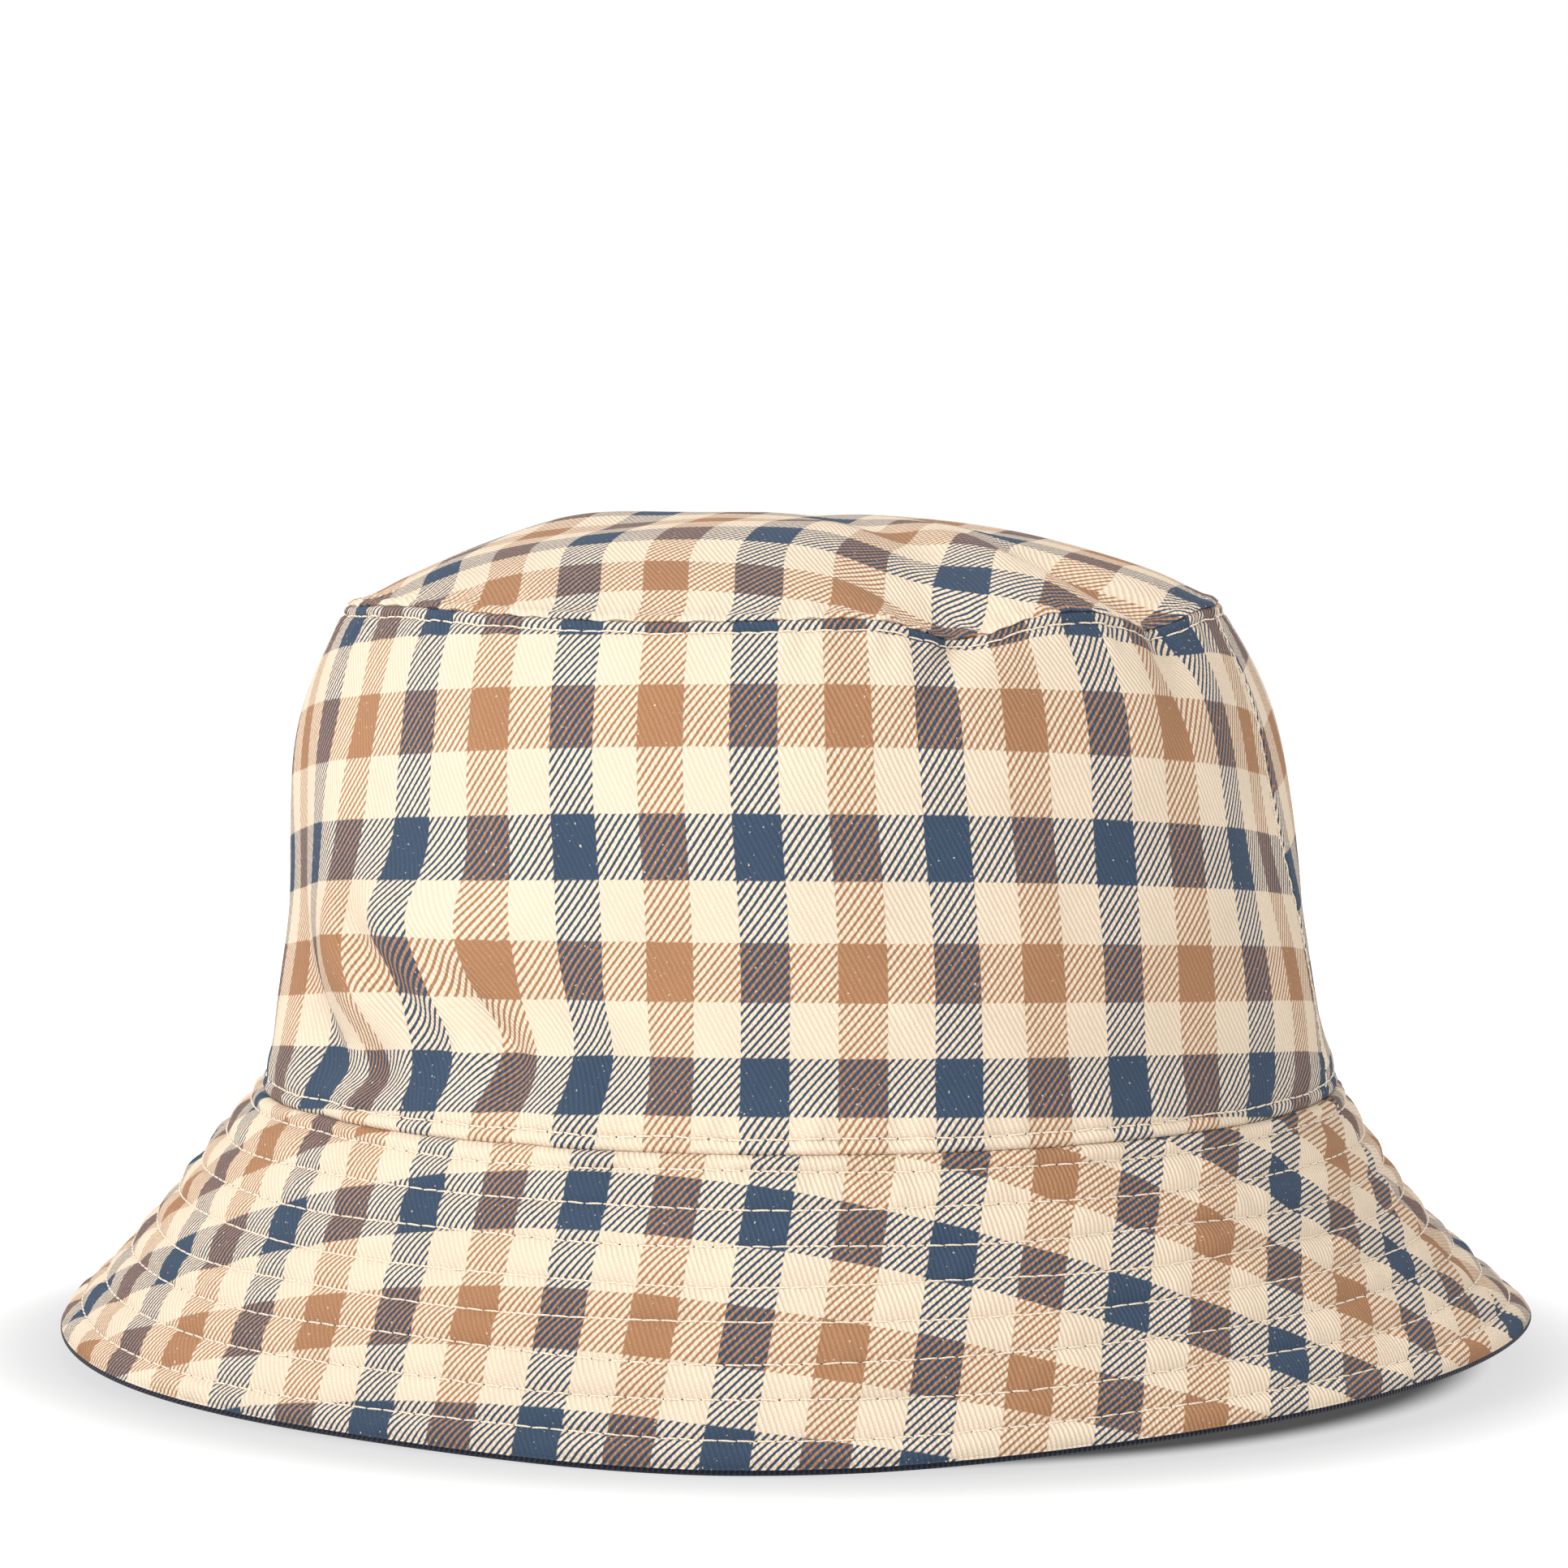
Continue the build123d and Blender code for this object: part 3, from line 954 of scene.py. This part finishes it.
class HAT_OT_topstitching(bpy.types.Operator):
    """Sews the topstitching of the crown seam, the side seams and the base fold"""

    bl_idname = "hat.topstitching"
    bl_label = "Crown Topstitching"

    def execute(self, context):
        angles = ring_angles()
        cream, navy = cream_thread(), navy_thread()
        wall = crown_layers()["lining"][1]
        lift = 0.1 * MM
        base = wandering(angles, BASE_STITCH_RUN, 61)
        tip = wandering(angles, TIP_STITCH_RUN, 62)
        sew("base_topstitch_thread", [side_line(angles, base, lift)], cream, "base_topstitch")
        inside = side_line(angles, base, lift, inside=True, depth=wall)
        holes = side_line(angles, base, 0.02 * MM, knotted=True)
        sew("base_bobbin_stitches", [inside, holes], navy, "base_bobbin_thread")
        sew("tip_topstitch_thread", [side_line(angles, tip, lift)], cream, "tip_topstitch")
        for side, name in ((1, "left"), (-1, "right")):
            run = np.linspace(BASE_STITCH_RUN + 0.8 * MM, TIP_STITCH_RUN - 0.8 * MM, 160)
            theta = side * (math.pi / 2 - 2.2 * MM / np.interp(run, SIDE_RUN, SIDE_RADII))
            line = side_line(theta, run, lift, closed=False)
            sew(f"side_topstitch_{name}_thread", [line], cream, f"side_topstitch_{name}")
        return {"FINISHED"}


class HAT_OT_brim_stitching(bpy.types.Operator):
    """Sews the concentric rows of the brim, needle thread above and bobbin thread below"""

    bl_idname = "hat.brim_stitching"
    bl_label = "Brim Stitching"

    def execute(self, context):
        angles = ring_angles()
        for row in range(BRIM_ROWS):
            above = brim_line(angles, row, 0.1 * MM)
            sew(f"brim_stitch_row_{row + 1}_thread", [above], cream_thread(),
                f"brim_stitch_row_{row + 1}")
            below = brim_line(angles, row, 0.1 * MM, under=True)
            holes = brim_line(angles, row, 0.04 * MM, knotted=True)
            sew(f"brim_bobbin_row_{row + 1}_stitches", [below, holes], navy_thread(),
                f"brim_bobbin_row_{row + 1}")
        return {"FINISHED"}


# ---------------------------------------------------------------- label


class HAT_OT_care_label(bpy.types.Operator):
    """Makes the blank folded label that hangs from the base seam inside the back"""

    bl_idname = "hat.care_label"
    bl_label = "Care Label"

    @staticmethod
    def make_tab(width, middle_y, thick):
        """The label's allowance, which runs from its fold line into the base seam."""
        across = np.linspace(-0.5, 0.5, 30) * width
        share = np.linspace(0, 1, 10)
        x, _ = np.meshgrid(across, share)
        seam = settle(side_point(math.pi - x[0] / BASE_R, 0.4 * MM + 0 * x[0], 1.9 * MM + 0 * x[0]))
        reach = seam[:, 1] - middle_y
        arch = np.sin(share * math.pi / 2)
        y = middle_y + reach * share[:, None] + 0 * x
        z = LABEL_HIGH.z + 0.05 * MM + (seam[:, 2] - LABEL_HIGH.z + 0.6 * MM) * arch[:, None]
        outer = np.stack([x, y, z + thick], -1)
        inner = np.stack([x, y, z - thick / 2], -1)
        flat = np.stack(np.meshgrid(across, share * 3 * MM), -1)
        tab = closed_ply("care_label_tab", outer, inner, flat)
        tab.data.materials.append(label_satin())
        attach(tab, "hat")
        return tab

    def execute(self, context):
        width, height = LABEL_HIGH.x - LABEL_LOW.x, LABEL_HIGH.z - LABEL_LOW.z
        middle_y = (LABEL_LOW.y + LABEL_HIGH.y) / 2
        thick = 0.16 * MM
        across = np.linspace(-0.5, 0.5, 60) * width
        turn = np.linspace(-math.pi / 2, math.pi / 2, 9)[1:-1]
        gap = 0.14 * MM
        legs = np.linspace(1, 0.012, 50)
        path = [(-gap, height * leg) for leg in legs]
        path += [(gap * math.sin(a), 0.012 * height - gap * math.cos(a)) for a in turn]
        path += [(gap, height * leg) for leg in legs[::-1]]
        path = np.array(path)
        step = np.gradient(path, axis=0)
        step /= np.linalg.norm(step, axis=1, keepdims=True)
        side = np.stack([step[:, 1], -step[:, 0]], -1)
        x, _ = np.meshgrid(across, path[:, 0])
        faces = []
        for offset in (thick / 2, -thick / 2):
            y = (path[:, 0] + side[:, 0] * offset)[:, None] + 0 * x
            z = (path[:, 1] + side[:, 1] * offset)[:, None] + 0 * x
            free = 1 - z / height
            curl = 0.9 * MM * (x / (width / 2)) ** 2 * free**1.5
            ripple = 0.25 * MM * np.sin(x * 260 + 40 * z) * free
            faces.append(np.stack([x, middle_y + y - curl + ripple * 0.8, LABEL_LOW.z + z], -1))
        run = np.concatenate([[0], np.cumsum(np.hypot(*np.diff(path, axis=0).T))])
        flat = np.stack(np.meshgrid(across, run), -1)
        piece = closed_ply("care_label_cloth", faces[0], faces[1], flat)
        finish_piece(piece, label_satin(), "care_label", body="label")
        tab = self.make_tab(width, middle_y, thick)
        return {"FINISHED"}


# ---------------------------------------------------------------- materials


def shader_group(name, inputs, outputs):
    """A new shader node group with named sockets."""
    tree = bpy.data.node_groups.new(name, "ShaderNodeTree")
    for label, kind, value in inputs:
        socket = tree.interface.new_socket(label, in_out="INPUT", socket_type=kind)
        if value is not None:
            socket.default_value = value
    for label, kind in outputs:
        tree.interface.new_socket(label, in_out="OUTPUT", socket_type=kind)
    return tree


def twill_group():
    """Steep left-hand twill: ridges of thread, their height and how deep a point lies in a groove."""
    found = bpy.data.node_groups.get("Twill Weave")
    if found:
        return found
    tree = shader_group("Twill Weave", [
        ("Pattern", "NodeSocketVector", None),
        ("Ridge Pitch", "NodeSocketFloat", 0.95 * MM),
        ("Thread Pitch", "NodeSocketFloat", 0.5 * MM),
        ("Steepness", "NodeSocketFloat", 2.0),
    ], [("Height", "NodeSocketFloat"), ("Groove", "NodeSocketFloat"), ("Slub", "NodeSocketFloat")])
    wire = Wiring(tree)
    given = wire.node("NodeGroupInput").outputs
    parts = wire.node("ShaderNodeSeparateXYZ", {"Vector": given["Pattern"]}).outputs
    fine = wire.node("ShaderNodeTexNoise", {"Vector": given["Pattern"], "Scale": 900.0, "Detail": 2.0})
    wander = wire.math("MULTIPLY", wire.math("SUBTRACT", fine.outputs[0], 0.5), 0.35)
    slant = wire.math("ADD", parts[0], wire.math("DIVIDE", parts[1], given["Steepness"]))
    phase = wire.math("ADD", wire.math("DIVIDE", slant, given["Ridge Pitch"]), wander)
    ridge = wire.math("MULTIPLY_ADD", wire.math("SINE", wire.math("MULTIPLY", phase, 2 * math.pi)), 0.5, 0.5)
    count = wire.math("ADD", wire.math("DIVIDE", parts[1], given["Thread Pitch"]),
                      wire.math("MULTIPLY", wire.math("FLOOR", phase), 0.37))
    thread = wire.math("ABSOLUTE", wire.math("SINE", wire.math("MULTIPLY", count, math.pi)))
    soft = wire.math("POWER", thread, 0.5)
    height = wire.math("MULTIPLY", ridge, wire.math("MULTIPLY_ADD", soft, 0.45, 0.55))
    slub = wire.node("ShaderNodeTexNoise", {"Vector": given["Pattern"], "Scale": 55.0, "Detail": 5.0,
                                            "Roughness": 0.62})
    wire.node("NodeGroupOutput", {"Height": height, "Groove": wire.math("SUBTRACT", 1.0, height),
                                  "Slub": slub.outputs[0]})
    return tree


# Where a stripe ends and where its soft edge is over, in stripes from the middle of a navy one
NAVY_EDGE = (0.262, 0.246)
TAN_EDGE = (0.738, 0.754)
HATCH_LINES = 12.0  # diagonal lines from one stripe's middle to the next
HATCH_EDGE = 0.07  # soft edge of a diagonal line


def check_group():
    """The printed check: solid blocks where like stripes cross, diagonal hatching elsewhere."""
    found = bpy.data.node_groups.get("Printed Check")
    if found:
        return found
    tree = shader_group("Printed Check", [
        ("Pattern", "NodeSocketVector", None),
        ("Across", "NodeSocketFloat", 0.015),
        ("Along", "NodeSocketFloat", 0.019),
        ("Ink", "NodeSocketFloat", 0.43),
        ("Cream", "NodeSocketColor", None),
        ("Tan", "NodeSocketColor", None),
        ("Navy", "NodeSocketColor", None),
    ], [("Colour", "NodeSocketColor")])
    wire = Wiring(tree)
    given = wire.node("NodeGroupInput").outputs
    parts = wire.node("ShaderNodeSeparateXYZ", {"Vector": given["Pattern"]}).outputs
    grit = wire.node("ShaderNodeTexNoise", {"Vector": given["Pattern"], "Scale": 1500.0, "Detail": 1.0})
    jag = wire.math("SUBTRACT", grit.outputs[0], 0.5)
    column = wire.math("ADD", wire.math("DIVIDE", parts[0], given["Across"]),
                       wire.math("MULTIPLY", jag, 0.02))
    row = wire.math("ADD", wire.math("DIVIDE", parts[1], given["Along"]),
                    wire.math("MULTIPLY", jag, 0.016))
    navy, tan = [], []
    for count in (column, row):
        swing = wire.math("PINGPONG", count, 1.0)
        navy.append(wire.ramp(swing, *NAVY_EDGE))
        tan.append(wire.ramp(swing, *TAN_EDGE))
    lines = wire.math("MULTIPLY", wire.math("SUBTRACT", column, row), HATCH_LINES)
    phase = wire.math("FRACT", wire.math("ADD", lines, wire.math("MULTIPLY", jag, 0.16)))
    ends = wire.math("ADD", given["Ink"], HATCH_EDGE)
    warp_line = wire.math("MULTIPLY", wire.ramp(phase, 0.0, HATCH_EDGE),
                          wire.ramp(phase, ends, given["Ink"]))
    weft_phase = wire.math("FRACT", wire.math("ADD", phase, 0.5))
    weft_line = wire.math("MULTIPLY", wire.ramp(weft_phase, 0.0, HATCH_EDGE),
                          wire.ramp(weft_phase, ends, given["Ink"]))
    stripes = []
    for dark, light in zip(navy, tan):
        stripes.append(wire.blend(dark, wire.blend(light, given["Cream"], given["Tan"]), given["Navy"]))
    coloured = [wire.math("MAXIMUM", dark, light) for dark, light in zip(navy, tan)]
    both = wire.math("MULTIPLY", *coloured)
    darkest = wire.math("MAXIMUM", *navy)
    ground = wire.blend(both, given["Cream"], wire.blend(darkest, given["Tan"], given["Navy"]))
    warped = wire.blend(wire.math("MULTIPLY", warp_line, coloured[0]), ground, stripes[0])
    hatched = wire.blend(wire.math("MULTIPLY", weft_line, coloured[1]), warped, stripes[1])
    fleck = wire.math("MULTIPLY", both, wire.ramp(grit.outputs[0], 0.70, 0.76))
    printed = wire.blend(wire.math("MULTIPLY", fleck, 0.75), hatched, given["Cream"])
    wire.node("NodeGroupOutput", {"Colour": printed})
    return tree


def new_material(name):
    """A new material, with its wiring and its shader."""
    material = bpy.data.materials.new(name)
    material.use_nodes = True
    wire = Wiring(material.node_tree)
    shader = material.node_tree.nodes["Principled BSDF"]
    return material, wire, shader


def placed_group(wire, tree, values):
    """A node group put into a material with its own values."""
    made = wire.node("ShaderNodeGroup")
    made.node_tree = tree
    for name, value in values.items():
        wire.put(made.inputs[name], value)
    return made.outputs


def cloth_shader(wire, shader, colour, weave, depth, rough, sheen):
    """Joins a colour and a weave to the shader as soft matt cotton, with painted shade darkening the colour
    in the weave's grooves.
    """
    # Painted shade: the colour is darkened in the grooves of the weave by depth; the slub then adds the
    # yarn's real mottling.
    shade = wire.math("MULTIPLY_ADD", weave["Groove"], -depth, 1.0)
    groove_shade_and_slub = wire.math("MULTIPLY", shade, wire.ramp(weave["Slub"], -2.4, 1.1))
    darker = wire.node("ShaderNodeMix", data_type="RGBA", blend_type="MULTIPLY")
    wire.put(darker.inputs[0], 1.0)
    wire.put(darker.inputs[6], colour)
    grey = wire.node("ShaderNodeCombineColor", {"Red": groove_shade_and_slub, "Green": groove_shade_and_slub, "Blue": groove_shade_and_slub})
    wire.put(darker.inputs[7], grey.outputs[0])
    wire.put(shader.inputs["Base Color"], darker.outputs[2])
    wire.put(shader.inputs["Roughness"], wire.math("MULTIPLY_ADD", weave["Slub"], 0.1, rough))
    relief = wire.node("ShaderNodeBump", {"Height": weave["Height"], "Strength": 0.9,
                                          "Distance": 0.22 * MM})
    wire.put(shader.inputs["Normal"], relief.outputs[0])
    shader.inputs["Specular IOR Level"].default_value = 0.12
    shader.inputs["Sheen Weight"].default_value = sheen
    shader.inputs["Sheen Roughness"].default_value = 0.5


def rgba(colour):
    """A colour with full alpha."""
    return (*colour, 1.0)


def check_twill():
    """Cotton twill printed with the check."""
    found = bpy.data.materials.get("Check Twill")
    if found:
        return found
    look = bpy.context.scene.hat_check
    material, wire, shader = new_material("Check Twill")
    spot = wire.node("ShaderNodeUVMap", uv_map="Pattern").outputs[0]
    print_ = placed_group(wire, check_group(), {
        "Pattern": spot, "Across": look.across, "Along": look.along, "Ink": look.hatch,
        "Cream": rgba(look.cream), "Tan": rgba(look.tan), "Navy": rgba(look.navy)})
    weave = placed_group(wire, twill_group(), {"Pattern": spot})
    cloth_shader(wire, shader, print_["Colour"], weave, 0.24, 0.8, 0.02)
    return material


def plain_twill():
    """The plain dark twill of the under-brim and lining."""
    found = bpy.data.materials.get("Navy Twill")
    if found:
        return found
    material, wire, shader = new_material("Navy Twill")
    spot = wire.node("ShaderNodeUVMap", uv_map="Pattern").outputs[0]
    weave = placed_group(wire, twill_group(), {"Pattern": spot})
    dye = rgba(bpy.context.scene.hat_check.lining)
    # The colour is lighter on the ridges of the weave.
    lighter_on_ridges = tuple(min(1.0, channel * 2.4 + 0.004) for channel in dye[:3])
    colour = wire.blend(wire.ramp(weave["Height"], 0.35, 1.0), dye, rgba(lighter_on_ridges))
    cloth_shader(wire, shader, colour, weave, 0.25, 0.82, 0.12)
    return material


UNBLEACHED = (0.72, 0.70, 0.63)
LABEL_WHITE = (0.80, 0.79, 0.75)
BOBBIN_NAVY = (0.012, 0.02, 0.05)
THREAD_TWIST = 9000.0  # turn of the two plies, in radians per metre


def interlining_cloth():
    """Unbleached plain weave."""
    found = bpy.data.materials.get("Interlining")
    if found:
        return found
    material, wire, shader = new_material("Interlining")
    spot = wire.node("ShaderNodeUVMap", uv_map="Pattern").outputs[0]
    weave = placed_group(wire, twill_group(), {"Pattern": spot, "Ridge Pitch": 0.6 * MM, "Steepness": 40.0})
    cloth_shader(wire, shader, rgba(UNBLEACHED), weave, 0.2, 0.85, 0.05)
    return material


def label_satin():
    """Woven white satin with fine cross ribs."""
    found = bpy.data.materials.get("Label Satin")
    if found:
        return found
    material, wire, shader = new_material("Label Satin")
    spot = wire.node("ShaderNodeUVMap", uv_map="Pattern").outputs[0]
    weave = placed_group(wire, twill_group(), {"Pattern": spot, "Ridge Pitch": 0.35 * MM, "Steepness": 0.02,
                                               "Thread Pitch": 0.2 * MM})
    cloth_shader(wire, shader, rgba(LABEL_WHITE), weave, 0.08, 0.5, 0.1)
    return material


def thread_material(name, colour):
    """Two-ply spun thread, twisted along each stitch, with painted shade darkening it between the plies."""
    found = bpy.data.materials.get(name)
    if found:
        return found
    material, wire, shader = new_material(name)
    strand = wire.node("ShaderNodeAttribute", attribute_name="strand").outputs["Vector"]
    parts = wire.node("ShaderNodeSeparateXYZ", {"Vector": strand}).outputs
    twist = wire.math("ADD", wire.math("MULTIPLY", parts[0], THREAD_TWIST),
                      wire.math("MULTIPLY", parts[1], THREAD_TWIST))
    ply = wire.math("MULTIPLY_ADD", wire.math("SINE", twist), 0.5, 0.5)
    # Painted shade: the thread's colour is darker in the grooves between its two plies, along the twist.
    dark = tuple(channel * 0.72 for channel in colour)
    wire.put(shader.inputs["Base Color"], wire.blend(ply, rgba(dark), rgba(colour)))
    relief = wire.node("ShaderNodeBump", {"Height": ply, "Strength": 0.5, "Distance": 0.08 * MM})
    wire.put(shader.inputs["Normal"], relief.outputs[0])
    shader.inputs["Roughness"].default_value = 0.62
    shader.inputs["Sheen Weight"].default_value = 0.15
    return material


def cream_thread():
    """Needle thread."""
    return thread_material("Cream Thread", tuple(bpy.context.scene.hat_check.thread))


def navy_thread():
    """Bobbin thread."""
    return thread_material("Navy Thread", BOBBIN_NAVY)


# ---------------------------------------------------------------- stage


CAMERA_DISTANCE = 0.800
CAMERA_HEIGHT = 0.1506
CAMERA_AIM = 0.0976
CAMERA_LENS = 105.0
LIGHT_AIM = (0, 0, 0.07)
# Studio lights: name, place, size and power
LIGHTS = (
    ("key", (-1.0, -1.35, 1.1), 0.7, 30),
    ("fill", (0.9, -1.6, 0.9), 1.0, 13),
    ("top", (-0.2, 0.5, 1.8), 1.0, 8),
)
# Painted shade: the floor's greys, dark under the hat and near its brim and pale far away, and where each
# gives way to the next, in brim radii from the axis
FLOOR_REACH = 4.0
FLOOR_SHADOWED, FLOOR_NEAR_PAINTED_SHADE, FLOOR_FAR = 0.05, 0.3, 0.99
NEAR_STARTS, NEAR_FULL, FAR_FULL = 1.0, 1.25, 2.0
# Painted light: the floor glows round the brim to lift the shadows on it; where this glow rises and fades,
# its strength, and what is left far away
PAINTED_GLOW_RISE = (0.9, 0.97)
PAINTED_GLOW_FADE = (2.8, 1.3)
PAINTED_GLOW, FAR_PAINTED_GLOW = 0.62, 0.08


def soft_light(name, place, aim, size, power):
    """A large square light that faces a point."""
    lamp = bpy.data.lights.new(name, "AREA")
    lamp.size, lamp.energy = size, power
    light = bpy.data.objects.new(name, lamp)
    light.location = place
    light.rotation_euler = (Vector(aim) - Vector(place)).to_track_quat("-Z", "Y").to_euler()
    bpy.context.scene.collection.objects.link(light)


class HAT_OT_stage(bpy.types.Operator):
    """Makes the pale floor, with painted shade near the hat and a painted glow round its brim, the soft
    studio light and the camera
    """

    bl_idname = "hat.stage"
    bl_label = "Stage"

    def execute(self, context):
        scene = context.scene
        scene.view_settings.view_transform = "Standard"
        floor_mesh = bpy.data.meshes.new("floor")
        corners = [(FLOOR_REACH * x, FLOOR_REACH * y, 0) for x, y in ((-1, -1), (1, -1), (1, 1), (-1, 1))]
        floor_mesh.from_pydata(corners, [], [(0, 1, 2, 3)])
        floor = bpy.data.objects.new("floor", floor_mesh)
        scene.collection.objects.link(floor)
        material, wire, shader = new_material("Pale Floor With Painted Shade And Glow")
        spot = wire.node("ShaderNodeTexCoord").outputs["Object"]
        scaled = wire.node("ShaderNodeVectorMath", {0: spot, 1: (1 / EDGE_SIDE, 1 / EDGE_FRONT, 0)},
                           operation="MULTIPLY").outputs["Vector"]
        away = wire.node("ShaderNodeVectorMath", {0: scaled}, operation="LENGTH").outputs["Value"]
        # Painted shadow: the floor's colour is darkest under the hat, grey just beyond its brim and pale
        # further out.
        shadowed, near, far = (rgba((grey,) * 3) for grey in (FLOOR_SHADOWED, FLOOR_NEAR_PAINTED_SHADE, FLOOR_FAR))
        inner = wire.blend(wire.ramp(away, NEAR_STARTS, NEAR_FULL), shadowed, near)
        ground = wire.blend(wire.ramp(away, NEAR_FULL, FAR_FULL), inner, far)
        wire.put(shader.inputs["Base Color"], ground)
        # Painted light: the floor glows in a ring round the brim and faintly everywhere, lifting the shadows
        # on it.
        shader.inputs["Emission Color"].default_value = (1, 1, 1, 1)
        painted_glow = wire.math("MULTIPLY", wire.ramp(away, *PAINTED_GLOW_RISE), wire.ramp(away, *PAINTED_GLOW_FADE))
        wire.put(shader.inputs["Emission Strength"], wire.math("MULTIPLY_ADD", painted_glow, PAINTED_GLOW, FAR_PAINTED_GLOW))
        shader.inputs["Roughness"].default_value = 0.9
        shader.inputs["Specular IOR Level"].default_value = 0.1
        floor_mesh.materials.append(material)

        world = bpy.data.worlds.new("Studio")
        world.use_nodes = True
        world.node_tree.nodes["Background"].inputs[0].default_value = (1, 1, 1, 1)
        world.node_tree.nodes["Background"].inputs[1].default_value = 1.0
        scene.world = world
        for name, place, size, power in LIGHTS:
            soft_light(name, place, LIGHT_AIM, size, power)

        camera_data = bpy.data.cameras.new("camera")
        camera_data.sensor_width = 36.0
        camera_data.lens = CAMERA_LENS
        camera = bpy.data.objects.new("camera", camera_data)
        place = Vector((math.sin(CAMERA_TURN) * CAMERA_DISTANCE, -math.cos(CAMERA_TURN) * CAMERA_DISTANCE,
                        CAMERA_HEIGHT))
        camera.location = place
        aim = Vector((0, 0, CAMERA_AIM))
        camera.rotation_euler = (aim - place).to_track_quat("-Z", "Y").to_euler()
        scene.collection.objects.link(camera)
        scene.camera = camera
        return {"FINISHED"}


# ---------------------------------------------------------------- add-on


OPERATORS = (
    HAT_OT_crown_tip,
    HAT_OT_crown_side,
    HAT_OT_brim_top,
    HAT_OT_brim_stiffener,
    HAT_OT_under_brim,
    HAT_OT_interlining,
    HAT_OT_lining,
    HAT_OT_topstitching,
    HAT_OT_brim_stitching,
    HAT_OT_care_label,
    HAT_OT_stage,
)


class HAT_PT_panel(bpy.types.Panel):
    """Lists the hat's pieces, sizes and colours"""

    bl_idname = "HAT_PT_panel"
    bl_label = "Bucket Hat"
    bl_space_type = "VIEW_3D"
    bl_region_type = "UI"
    bl_category = "Hat"

    def draw(self, context):
        layout = self.layout
        for group in (context.scene.hat_cloth, context.scene.hat_check, context.scene.hat_stitch):
            box = layout.box()
            for name in group.__annotations__:
                box.prop(group, name)
        for operator in OPERATORS:
            layout.operator(operator.bl_idname)


GROUPS = {"hat_cloth": HatCloth, "hat_check": HatCheck, "hat_stitch": HatStitch}


def register():
    for cls in (*GROUPS.values(), *OPERATORS, HAT_PT_panel):
        bpy.utils.register_class(cls)
    for name, group in GROUPS.items():
        setattr(bpy.types.Scene, name, PointerProperty(type=group))


def unregister():
    for name in GROUPS:
        delattr(bpy.types.Scene, name)
    for cls in reversed((*GROUPS.values(), *OPERATORS, HAT_PT_panel)):
        bpy.utils.unregister_class(cls)


def main():
    register()
    for operator in OPERATORS:
        group, name = operator.bl_idname.split(".")
        getattr(getattr(bpy.ops, group), name)()


if __name__ == "__main__":
    main()
